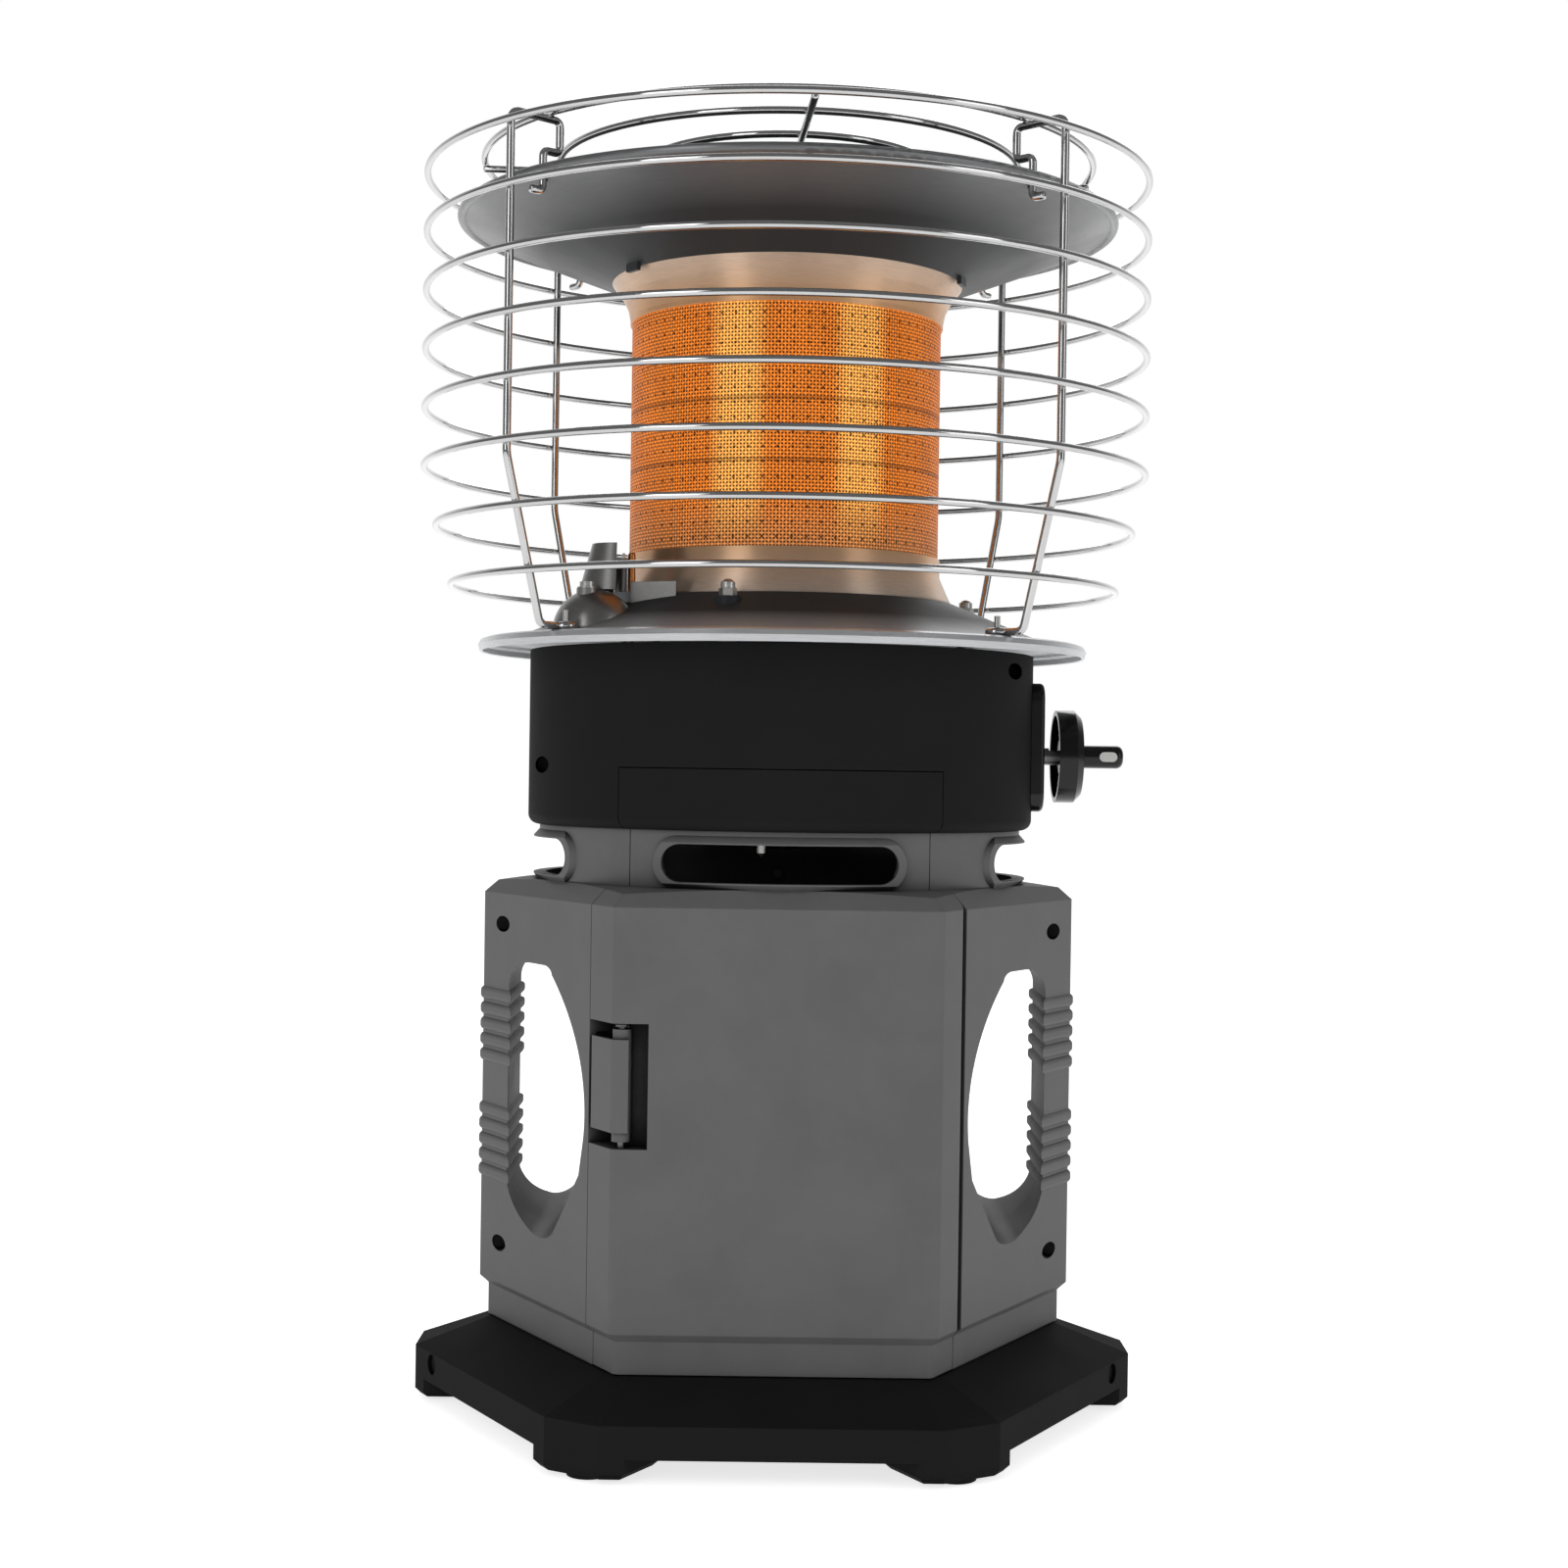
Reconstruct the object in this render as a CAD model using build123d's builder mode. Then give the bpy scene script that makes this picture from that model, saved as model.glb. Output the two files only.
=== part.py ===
from build123d import *
from math import cos, hypot, radians, sin, tan
import os

os.makedirs("parts", exist_ok=True)

# Portable propane heater: a hexagonal housing holds a disposable gas cylinder behind a hinged
# door, a round drum on top of it holds the regulator and valve, and a cylindrical radiant burner
# stands on the drum under a reflector, inside a wire guard.
# Millimetres, Z up, origin on the floor under the middle, door to -Y, control knob to +X.

# ---------------------------------------------------------------- driving dimensions
# fits
door_gap = 0.4              # seam round the door, and clear space round its hinge ears
shaft_fit = 0.05            # radial play of shafts, pins and screws
weld_gap = 0.02             # between wires that are spot welded where they cross
pass_gap = 0.4              # between still parts and moving ones that pass close by
cut_over = 1.0              # cuts start this far outside the material
edge_break = 1.0            # on small turned parts
cos30 = cos(radians(30))
tan30 = tan(radians(30))

# base tray
pad_height = 2.0
pad_radius = 9.0
pad_circle = 148.0          # radius on which the pads stand
pad_plug_radius = 3.0
pad_plug_height = 4.0
foot_height = 8.5
foot_width = 43.6
foot_length = 33.0
foot_chamfer = 2.5
skirt_height = 13.5
slope_rise = 12.0
base_apothem = 146.0
base_corner_reach = 161.0   # centre to the flat across each cut corner
base_top_apothem = 114.5
base_wall = 3.5
base_plate = 4.0
floor_step = 4.0            # raised floor that the housing fits round
floor_apothem = 106.0
base_dowel_radius = 4.5     # blind holes beside the side corners
base_dowel_x = 151.5
base_dowel_rise = 8.4
base_top_reach = 128.5

# housing
housing_apothem = 116.5
housing_wall = 3.0
corner_rounding = 3.5
plinth_apothem = 113.0
plinth_height = 14.0
prism_height = 175.0
shoulder_rise = 7.5
shoulder_fall = 0.1136      # slope of the shoulder outside the neck
neck_radius = 108.9
neck_height = 24.0
post_face = 117.0           # the side corner posts are solid beyond this X
flange_depth = 15.0         # of the stiffening flanges along the door seams
vent_width = 99.0
side_vent_width = 124.0
vent_height = 16.0
vent_rise = 10.4            # shoulder top to vent centre
lip_height = 2.6
lip_width = 3.5
lip_edge = 0.6              # flat inner edge of a lip before it slopes away

# hand holes
grip_depth = 15.0           # housing corner to the hole, along X
hole_bottom_rise = 28.2     # prism bottom to the lowest point of the hole
hole_height = 117.9
hole_width = 39.0
hole_wall = 3.0
hole_top_corner = ((0, 12.0), (3.2, 3.6), (11.0, 0))      # arc: across from the grip, down from the top
hole_crest = ((18.5, 0), (20.9, 1.1), (22.2, 3.7))
hole_bow = ((2.6, 81.9), (0.2, 48.8), (2.3, 32.5))        # back from the inner side, up from the lowest point
hole_foot = ((24.0, 3.0), (18.8, 0), (12.3, 1.6), (4.9, 8.1), (0, 19.3))   # across from the grip, up
rib_pitch = 7.0
rib_height = 1.3
rib_width = 6.0
rib_rounding = 2.2
ribs_per_group = 5
rib_starts = (20.4, 72.8)   # first rib of each group above the lowest point of the hole

# door, hinge and latch
seam_setback = 22.06        # front corner to the door seam, along the side face
hinge_setback = 4.6         # seam to the pin axis
hinge_depth = 4.2           # side face to the pin axis, and radius of the door edge round it
hinge_pin_radius = 1.3
hinge_ear_radius = 2.7
hinge_ear_height = 8.0
hinge_arm_width = 3.0
hinge_pin_overlap = 7.0     # length of pin in the door above and below each ear
hinge_ear_rises = (18.0, 150.0)   # ear bottoms above the prism bottom
hinge_room_along = (-2.4, 13.6)   # free space for the hinge arms, along the side face
hinge_room_across = (-7.9, 3.5)
latch_bottom_rise = 82.5
latch_height = 38.3
latch_wall = 2.6
latch_right_x = -60.8
latch_hub_radius = 4.0
latch_hub_over = 4.0        # the hub stands out above and below the latch plate
latch_pin_radius = 1.5
latch_pin_depth = 6.0       # from both outer faces
latch_seam_gap = 2.2
latch_nose_depth = 3.4
latch_nose_thickness = 2.2
latch_nose_margin = 4.0
latch_notch_room = 1.0      # round the nose, in the left shell's flange
recess_right_x = -52.8
recess_margin = 6.6         # above and below the latch
recess_depth = 10.5
recess_wall = 3.0
latch_spring_radius = 2.5
latch_spring_wire = 0.35

# screws
screw_radius = 1.8
screw_head_radius = 3.3
screw_head_height = 2.2
screw_well_radius = 3.6
housing_screw_x = 123.5
housing_screw_rises = (18.0, 161.3)   # above the prism bottom
housing_screw_seat = 12.0             # head seat in front of the middle plane
housing_screw_length = 24.0
base_screw_length = 18.0
base_screw_side = (124.6, 5.2)        # beside the middle plane, in the corner posts
base_screw_rear = (55.0, 103.0)
base_boss_radius = 6.0
base_boss_height = 20.0

# drum
drum_overhang = 5.3         # drum wall outside the neck
drum_height = 78.0
drum_wall = 2.5
drum_floor = 3.0
drum_floor_radius = 88.0
drum_rounding = 4.5
drum_ledge_width = 8.2      # drum's outer face to the ledge's inner edge
drum_ledge_drop = 2.0       # drum rim to the seat of the heat shield
apron_height = 26.0
apron_flange_width = 12.2
drum_screw_rows = ((-1, 9.6, 26.5), (1, 12.8, 70.0))   # side, inset from the drum face, height
drum_screw_seat = 30.0
drum_boss_radius = 5.5
drum_screw_length = 40.0
liner_gap = 0.5             # neck wall to the liner
liner_wall = 2.0
liner_height = 32.0
liner_half_angle = 48.0
liner_recess_level = 234.0
liner_recess_radius = 3.5

# gas train
bracket_radius = 94.0
sheet = 1.2
thin_sheet = 0.84           # of the plate's rolled rim, the pilot hood and its strip
inlet_bore_radius = 12.7    # 1"-20 threaded socket
inlet_bore_depth = 12.0
inlet_relief_radius = 13.4   # above the thread, round the seal
inlet_relief_depth = 2.4
inlet_radius = 16.0
inlet_drop = 10.0           # mouth below the drum bottom
inlet_flange_radius = 20.0
inlet_flange_height = 3.0
inlet_probe_radius = 2.2
seal_height = 2.0
seal_inner_radius = 5.0
regulator_radius = 27.0
regulator_neck = 21.6
regulator_flange = 5.0
bracket_screw_circle = 91.0
bracket_screw_radius = 1.6
bracket_screw_length = 15.2
screw_point_taper = 35      # degrees
bracket_screw_angles = (265.0, 145.0, 25.0)
inlet_chamfer = 1.0
valve_back_x = -12.0
valve_front_x = 94.0
valve_half_width = 10.0
valve_half_height = 10.0
manifold_front_x = 34.0
manifold_half_width = 8.0
manifold_half_height = 6.0
valve_rounding = 2.0
knob_axis_rise = 33.5       # drum bottom to the knob axis
valve_bore_radius = 7.0
valve_bore_end_x = 42.0
stem_spring_length = 4.0
stem_spring_radius = 5.0
stem_spring_wire = 0.45
plunger_length = 6.0
plunger_travel = 4.0
gland_flange = 5.0
gland_flange_radius = 9.0
stem_radius = 3.9
stem_flat = 2.7             # stem axis to the flat on its outer end
stem_flat_length = 12.0
jet_radius = 5.0
jet_height = 9.0
venturi_radius = 15.5
throat_radius = 11.0
venturi_port_radius = 3.5
shield_clearance = 0.3
switch_size = (26.0, 20.0, 22.0)
switch_place = (-52.0, 48.0)
switch_rounding = 2.0
igniter_length = 44.0
igniter_radius = 7.0
pilot_tube_radius = 1.6
lead_radius = 1.2
lead_hole_clearance = 0.4
tube_bend = 14.0
tight_bend = 12.0
lead_straight = 22.0        # straight lead behind the igniter
# courses through the drum: X, Y, and height above the knob axis
electrode_lead_course = ((-10.0, 34.0, 12.5), (-50.0, 10.0, 22.0))
electrode_lead_rise = 30.0
thermocouple_lead_course = ((24.0, -42.0, 0.0), (-20.0, -66.0, 18.5))
thermocouple_lead_rise = 27.0
pilot_tube_x = 10.0
pilot_tube_reach = -32.0    # Y of its first bend, X of its second
pilot_tube_rises = (7.0, 14.0)

# control knob and bezel
bezel_height = 57.8
bezel_drop = 25.1           # knob axis down to the bezel's lower edge
bezel_width = 46.0
bezel_thickness = 4.0
bezel_root = 10.0           # drawn this far inside the drum before the drum is taken off
bezel_rounding = 8.0
bezel_collar_radius = 14.0
bezel_collar_length = 9.0
knob_gap = 7.0              # bezel face to the knob's back rim
knob_radius = 21.0
knob_depth = 11.3
knob_wall = 2.2
knob_chamfer = 3.0
knob_hub_radius = 7.5
knob_hub_setback = 2.0
grip_bar_length = 34.0
grip_bar_width = 10.3
grip_bar_height = 18.0
grip_bar_rounding = 3.0
grip_bar_end = 4.95         # radius of its upright ends
pointer_radius = 2.2
pointer_length = 8.0
pointer_height = 1.0

# burner
stud_circle = 88.0
stud_radius = 2.0
stud_sleeve_radius = 4.0
stud_angles = (254.5, 14.5, 134.5)
nut_radius = 3.9
nut_height = 3.4
nut_dome_radius = 3.1
nut_dome_rise = 2.5         # nut's flat top to the centre of its dome
plate_rim_inset = 25.0      # side rings of the guard to the plate's rim
plate_bush_radius = 5.6
plate_land_insets = (15.8, 3.8)   # plate's rim to both edges of its flat land
plate_land_rise = 5.0       # drum rim to the top of the flat land
plate_rim_drop = 5.9
plate_rim_roll = 3.0        # the rim turns down within this height
plate_cone_radius = 77.0
plate_cone_rise = 18.5
burner_radius = 70.2
mesh_wall = 0.8
tube_gap = 2.2              # mesh to the perforated tube inside it
emitter_height = 107.0
lower_band_height = 8.0
mesh_overlap = 6.0          # mesh hidden inside each collar
cap_drop = 9.0              # reflector floor to the burner cap
lower_collar_flare = 12.0
lower_collar_radius = 76.0
collar_wall = 0.9
upper_collar_rise = 16.5
upper_collar_radius = 79.5
upper_collar_curve = ((0.12, 0.3), (0.4, 0.6), (0.78, 0.85))   # shares of its flare and rise
reflector_inset = 15.4      # side rings of the guard to the reflector's rim
reflector_bead_radius = 2.0
reflector_rise = 26.5
reflector_tab_angles = (214.0, 342.0)
tab_size = (2.0, 9.0, 3.5)  # radial, across, down

# pilot
pilot_centre = (-70.0, -44.0)
thermocouple_offset = (4.0, -9.0)
electrode_offset = (-0.5, 7.0)
pilot_foot_rise = 3.0
pilot_foot_radii = (78.2, 87.0)
pilot_foot_angles = (200.0, 222.0)
pilot_burner_radius = 4.0
pilot_burner_height = 15.0
pilot_port_rise = 9.0
pilot_port_direction = (1, 0.4, 0)
electrode_radius = 2.2
electrode_height = 9.0
electrode_tip_radius = 0.7
electrode_tip = 9.0
thermocouple_radius = 1.6
thermocouple_height = 17.0
thermocouple_rounding = 1.1
hood_centre = (-72.0, -50.0)
hood_radii = (17.0, 11.5)   # below and above
hood_height = 20.5
hood_start = 100.0          # angle of one upright edge
hood_arc = 170.0
cover_centre = (-81.0, -64.0)
cover_radius = 18.0
cover_pad_depth = 4.0
cover_pad_offset = (-3.0, -4.6)
cover_pad_radius = 4.6
strip_start = (-66.0, -58.5)
strip_finish = (-46.0, -67.0)
strip_top = 23.0            # above the plate land

# guard
wire_radius = 1.6
post_wire_radius = 1.75
side_ring_radius = 162.8
ring_pitch = 26.2
side_ring_count = 6
low_ring_insets = (5.5, 12.5)   # side rings to the two lowest rings
lowest_ring_rise = 24.0      # plate land to the lowest ring
top_ring_inset = 25.2       # side rings to the outer top ring
inner_top_rings = (104.0, 66.0)
top_ring_rise = 8.0         # first side ring to the top rings
cross_turn = 4.0
post_angles = (224.0, 315.0, 136.0, 47.0)
hook_hole_inset = 4.9       # reflector's rim to the holes for the hooks
hook_arm = 8.8              # from the holes inwards
hook_drop = 13.5
hook_tail_drop = 17.0
hook_tail = 6.0
post_bend = 4.0
knee_bend = 20.0            # where a post starts to lean inwards
hook_bend = 2.6
eyelet_inset = 10.8         # plate's rim to the eyelets of the posts
eyelet_radius = 3.4
guard_screw_radius = 1.25
guard_screw_over = 5.0

# ---------------------------------------------------------------- levels and places
foot_bottom = pad_height
skirt_bottom = foot_bottom + foot_height
skirt_top = skirt_bottom + skirt_height
base_top = skirt_top + slope_rise
floor_top = base_top + floor_step
plinth_top = base_top + plinth_height
prism_bottom = plinth_top + housing_apothem - plinth_apothem
shoulder_bottom = prism_bottom + prism_height
shoulder_top = shoulder_bottom + shoulder_rise
neck_top = shoulder_top + neck_height
vent_level = shoulder_top + vent_rise
neck_inner_radius = neck_radius - housing_wall
liner_radius = neck_inner_radius - liner_gap
housing_radius = housing_apothem / cos30
hole_bottom = prism_bottom + hole_bottom_rise
grip_face = housing_radius - grip_depth

seam_x = housing_radius / 2 + seam_setback / 2
seam_y = -housing_apothem + seam_setback * cos30
seam_apex = -seam_y - seam_x * tan30      # the seam planes meet this far in front of the axis
hinge_x = seam_x - hinge_setback / 2 - hinge_depth * cos30
hinge_y = seam_y - hinge_setback * cos30 + hinge_depth / 2
hinge_frame = Plane(origin=(hinge_x, hinge_y, 0), x_dir=(-cos30, 0.5, 0), z_dir=(0, 0, 1))
hinge_ear_levels = [prism_bottom + rise for rise in hinge_ear_rises]

base_screw_places = [(x * base_screw_side[0], y * base_screw_side[1]) for x in (-1, 1) for y in (-1, 1)]
base_screw_places += [(x * base_screw_rear[0], base_screw_rear[1]) for x in (-1, 1)]

latch_bottom = prism_bottom + latch_bottom_rise
latch_top = latch_bottom + latch_height
recess_bottom = latch_bottom - recess_margin
recess_top = latch_top + recess_margin
latch_pin_reach = latch_pin_depth / cos30
latch_pin_x = -housing_radius / 2 + latch_pin_reach / 2
latch_pin_y = -housing_apothem + latch_pin_depth

drum_radius = neck_radius + drum_overhang
drum_ledge_radius = drum_radius - drum_ledge_width
apron_flange_radius = drum_radius - apron_flange_width
drum_screws = [(side * (drum_radius - inset), rise) for side, inset, rise in drum_screw_rows]
drum_bottom = neck_top
drum_top = drum_bottom + drum_height
drum_inner_radius = drum_radius - drum_wall
apron_top = drum_bottom + apron_height
bracket_top = drum_bottom + drum_floor + sheet
inlet_mouth = drum_bottom - inlet_drop
regulator_bottom = bracket_top + inlet_flange_height
knob_axis = drum_bottom + knob_axis_rise
regulator_top = knob_axis - valve_half_height
shield_bottom = drum_top - drum_ledge_drop
shield_top = shield_bottom + sheet
plate_land = drum_top + plate_land_rise
plate_cone_top = plate_land + plate_cone_rise
mesh_bottom = plate_cone_top + lower_collar_flare + lower_band_height
mesh_top = mesh_bottom + emitter_height
reflector_floor = mesh_top + upper_collar_rise
reflector_rim = reflector_floor + reflector_rise
bezel_face = drum_radius + bezel_thickness
knob_back = bezel_face + knob_gap
knob_front = knob_back + knob_depth
plunger_back = valve_bore_end_x + stem_spring_length + pass_gap + plunger_travel
plunger_front = plunger_back + plunger_length
gland_back = plunger_front + pass_gap
stem_front = knob_front - knob_wall
plate_rim_radius = side_ring_radius - plate_rim_inset
plate_land_radii = [plate_rim_radius - inset for inset in plate_land_insets]
eyelet_circle = plate_rim_radius - eyelet_inset
reflector_radius = side_ring_radius - reflector_inset
hook_hole_radius = reflector_radius - hook_hole_inset
hook_inner_radius = hook_hole_radius - hook_arm
ring_seven_radius, ring_eight_radius = [side_ring_radius - inset for inset in low_ring_insets]
top_ring_radii = (side_ring_radius - top_ring_inset, *inner_top_rings)
first_ring = plate_land + lowest_ring_rise + ring_pitch * (side_ring_count + 1)
ring_levels = [first_ring - ring_pitch * step for step in range(side_ring_count + 2)]
top_ring_level = first_ring + top_ring_rise
under_rings = top_ring_level - wire_radius - post_wire_radius - weld_gap


# ---------------------------------------------------------------- shared profiles and tools
def rounded_hexagon(apothem, rounding):
    """Hexagon with two vertices on the X axis, drawn in the current sketch."""
    outline = RegularPolygon(apothem, 6, major_radius=False)
    if rounding:
        fillet(outline.vertices(), rounding)


def hexagon_layer(low, high, low_apothem, high_apothem, rounding=0):
    """Straight or tapered hexagonal layer from one level to another."""
    with BuildSketch(Plane.XY.offset(low)) as floor:
        rounded_hexagon(low_apothem, rounding)
    with BuildSketch(Plane.XY.offset(high)) as roof:
        rounded_hexagon(high_apothem, rounding)
    loft([floor.sketch.face(), roof.sketch.face()], ruled=True)


def cut_hexagon(level, apothem, reach):
    """Hexagon at a level, with its corners cut flat at a reach from the axis."""
    with BuildSketch(Plane.XY.offset(level)) as outline:
        RegularPolygon(apothem, 6, major_radius=False)
        RegularPolygon(reach, 6, major_radius=False, rotation=30, mode=Mode.INTERSECT)
    return outline.sketch.face()


def disc(low, high, radius, inner=0, mode=Mode.ADD):
    """Round disc or ring on the Z axis."""
    with BuildSketch(Plane.XY.offset(low)) as outline:
        Circle(radius)
        if inner:
            Circle(inner, mode=Mode.SUBTRACT)
    extrude(outline.sketch, amount=high - low, mode=mode)


def turned(*points, mode=Mode.ADD, arc=360):
    """Body of revolution about Z from a closed (radius, height) outline."""
    with BuildSketch(Plane.XZ) as section:
        with BuildLine():
            Polyline(*points, close=True)
        make_face()
    revolve(section.sketch, axis=Axis.Z, revolution_arc=arc, mode=mode)


def spun_sheet(points, shift):
    """Spun sheet: the (radius, height) points of one face, and the other face shifted off it."""
    other = [(radius + shift[0], height + shift[1]) for radius, height in reversed(points)]
    turned(*points, *other)


def door_sector(inset, low, high, mode=Mode.ADD):
    """Prism over the plan of the door; a positive inset draws it in from both seam planes."""
    apex = -(seam_apex + inset / cos30)
    reach = 2 * housing_radius
    with BuildSketch(Plane.XY.offset(low)) as plan:
        with BuildLine():
            Polyline((0, apex), (-reach, apex - reach * tan30), (reach, apex - reach * tan30), close=True)
        make_face()
    extrude(plan.sketch, amount=high - low, mode=mode)


def rod(frame, radius, length, mode=Mode.ADD):
    """Round rod along the normal of a plane."""
    with BuildSketch(frame) as section:
        Circle(radius)
    extrude(section.sketch, amount=length, mode=mode)


def block(low, high, x_range, y_range, mode=Mode.ADD):
    """Rectangular block between two levels."""
    width = x_range[1] - x_range[0]
    depth = y_range[1] - y_range[0]
    with BuildSketch(Plane.XY.offset(low)) as plan:
        with Locations((x_range[0] + width / 2, y_range[0] + depth / 2)):
            Rectangle(width, depth)
    extrude(plan.sketch, amount=high - low, mode=mode)


def screw(seat, length, radius=screw_radius, head=screw_head_radius, height=screw_head_height):
    """Pan head screw; the seat plane lies under its head and looks out of it."""
    rod(seat, head, height)
    rod(seat, radius, -length)


def polar(angle, radius):
    """Point at an angle from +X, counter-clockwise, and a radius."""
    return radius * cos(radians(angle)), radius * sin(radians(angle))


def bent_tube(points, radii, radius):
    """Tube or wire along straight runs joined by tangent arcs."""
    with BuildLine() as route:
        FilletPolyline(*points, radius=radii)
    path = route.wire()
    with BuildSketch(Plane(origin=path @ 0, z_dir=path % 0)) as section:
        Circle(radius)
    sweep(section.sketch, path=path)


def hand_hole_outline():
    """Outline of the hand hole at -X on the XZ plane, up the grip and down the other side."""
    side = -grip_face
    top = hole_bottom + hole_height
    inner = side + hole_width
    top_corner = [(side + across, top - drop) for across, drop in hole_top_corner]
    crest = [(side + across, top - drop) for across, drop in hole_crest]
    bow = [(inner - back, hole_bottom + rise) for back, rise in hole_bow]
    foot = [(side + across, hole_bottom + rise) for across, rise in hole_foot]
    with BuildLine() as outline:
        Line(foot[-1], top_corner[0])
        ThreePointArc(*top_corner)
        Line(top_corner[-1], crest[0])
        ThreePointArc(*crest)
        ThreePointArc(crest[-1], bow[0], bow[1])
        Line(bow[1], bow[2])
        Line(bow[2], foot[0])
        ThreePointArc(*foot[:3])
        ThreePointArc(*foot[2:])
    make_face(outline.edges())


with BuildPart() as hand_holes:
    with BuildSketch(Plane.XZ):
        hand_hole_outline()
        mirror(about=Plane.YZ)
    extrude(amount=2 * housing_radius, both=True)

with BuildPart() as hand_hole_walls:
    with BuildSketch(Plane.XZ):
        hand_hole_outline()
        offset(amount=hole_wall)
        mirror(about=Plane.YZ)
    extrude(amount=2 * housing_radius, both=True)

with BuildPart() as vents:
    with BuildSketch(Plane.XZ):
        with Locations((0, vent_level)):
            SlotOverall(vent_width, vent_height)
    extrude(amount=2 * neck_radius)
    with BuildSketch(Plane.YZ):
        with Locations((0, vent_level)):
            SlotOverall(side_vent_width, vent_height)
    extrude(amount=2 * neck_radius, both=True)

# raised lips round the vents: a flared belt round the neck, kept only near each slot
with BuildPart() as lip_fields:
    with BuildSketch(Plane.XZ):
        with Locations((0, vent_level)):
            SlotOverall(vent_width + 2 * lip_width, vent_height + 2 * lip_width)
    extrude(amount=2 * neck_radius)
    with BuildSketch(Plane.YZ):
        with Locations((0, vent_level)):
            SlotOverall(side_vent_width + 2 * lip_width, vent_height + 2 * lip_width)
    extrude(amount=2 * neck_radius, both=True)

with BuildPart() as lips:
    lip_half = vent_height / 2 + lip_width
    turned(
        (neck_inner_radius, vent_level - lip_half),
        (neck_radius, vent_level - lip_half),
        (neck_radius + lip_height, vent_level - vent_height / 2 - lip_edge),
        (neck_radius + lip_height, vent_level + vent_height / 2 + lip_edge),
        (neck_radius, vent_level + lip_half),
        (neck_inner_radius, vent_level + lip_half),
    )
    add(lip_fields.part, mode=Mode.INTERSECT)

# bulges of the grips, all round each grip bar
with BuildPart() as grip_ribs:
    for start in rib_starts:
        for count in range(ribs_per_group):
            level = hole_bottom + start + rib_pitch * count
            with BuildSketch(Plane.XY.offset(level - rib_width / 2)):
                rounded_hexagon(housing_apothem + rib_height, corner_rounding + rib_height)
                Rectangle(2 * (grip_face - rib_height), 3 * housing_radius, mode=Mode.SUBTRACT)
            extrude(amount=rib_width)
    level_edges = grip_ribs.edges().filter_by(lambda edge: abs((edge % 0.5).Z) < 0.01)
    fillet(level_edges, rib_rounding)

# outer form of housing and neck, before it is parted into shells and door
with BuildPart() as housing_form:
    hexagon_layer(base_top, plinth_top, plinth_apothem, plinth_apothem, corner_rounding)
    hexagon_layer(plinth_top, prism_bottom, plinth_apothem, housing_apothem, corner_rounding)
    hexagon_layer(prism_bottom, shoulder_bottom, housing_apothem, housing_apothem, corner_rounding)
    shoulder_apothem = housing_apothem - shoulder_rise
    hexagon_layer(shoulder_bottom, shoulder_top, housing_apothem, shoulder_apothem, corner_rounding)
    turned(
        (0, base_top),
        (housing_radius, base_top),
        (housing_radius, shoulder_top - shoulder_fall * (housing_radius - neck_radius)),
        (neck_radius, shoulder_top),
        (0, shoulder_top),
        mode=Mode.INTERSECT,
    )
    add(hand_holes.part, mode=Mode.SUBTRACT)
    add(grip_ribs.part)
    disc(shoulder_bottom, neck_top, neck_radius)
    add(lips.part)
    add(vents.part, mode=Mode.SUBTRACT)

# room for the gas cylinder, left clear of the hand holes and the corner posts
with BuildPart() as bay:
    plinth_inner = plinth_apothem - housing_wall
    prism_inner = housing_apothem - housing_wall
    hexagon_layer(base_top, prism_bottom, plinth_inner, plinth_inner)
    hexagon_layer(prism_bottom, shoulder_bottom, prism_inner, prism_inner)
    with BuildSketch(Plane.XY.offset(base_top)):
        Rectangle(2 * post_face, 4 * housing_apothem)
    extrude(amount=shoulder_bottom - base_top, mode=Mode.INTERSECT)
    add(hand_hole_walls.part, mode=Mode.SUBTRACT)
    disc(shoulder_bottom, neck_top, neck_inner_radius)

# the seam flanges end above the raised floor, which the door passes as it swings
with BuildPart() as floor_room:
    hexagon_layer(base_top, floor_top + door_gap, plinth_inner, plinth_inner)
    post_faces = (-post_face, post_face)
    block(base_top, floor_top + door_gap, post_faces, (-housing_radius, housing_radius), mode=Mode.INTERSECT)

# what the stiffening flanges along the seams must leave free, and the raised floor of the base
with BuildPart() as core:
    core_apothem = housing_apothem - flange_depth
    hexagon_layer(base_top, shoulder_bottom, core_apothem, core_apothem)
    add(hand_hole_walls.part, mode=Mode.SUBTRACT)
    disc(shoulder_bottom, neck_top, neck_radius - flange_depth + housing_wall)
    hexagon_layer(base_top, floor_top + door_gap, floor_apothem + door_gap, floor_apothem + door_gap)
    add(floor_room.part)

with BuildPart() as floor_seat:
    hexagon_layer(base_top, floor_top, floor_apothem + shaft_fit, floor_apothem + shaft_fit)


# ---------------------------------------------------------------- base
def foot_plan(inset):
    """Plan of the six corner feet, drawn in from all sides by an inset."""
    with PolarLocations(base_corner_reach - foot_length / 2, 6):
        Rectangle(foot_length - 2 * inset, foot_width - 2 * inset)
    RegularPolygon(base_apothem - inset, 6, major_radius=False, mode=Mode.INTERSECT)


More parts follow.
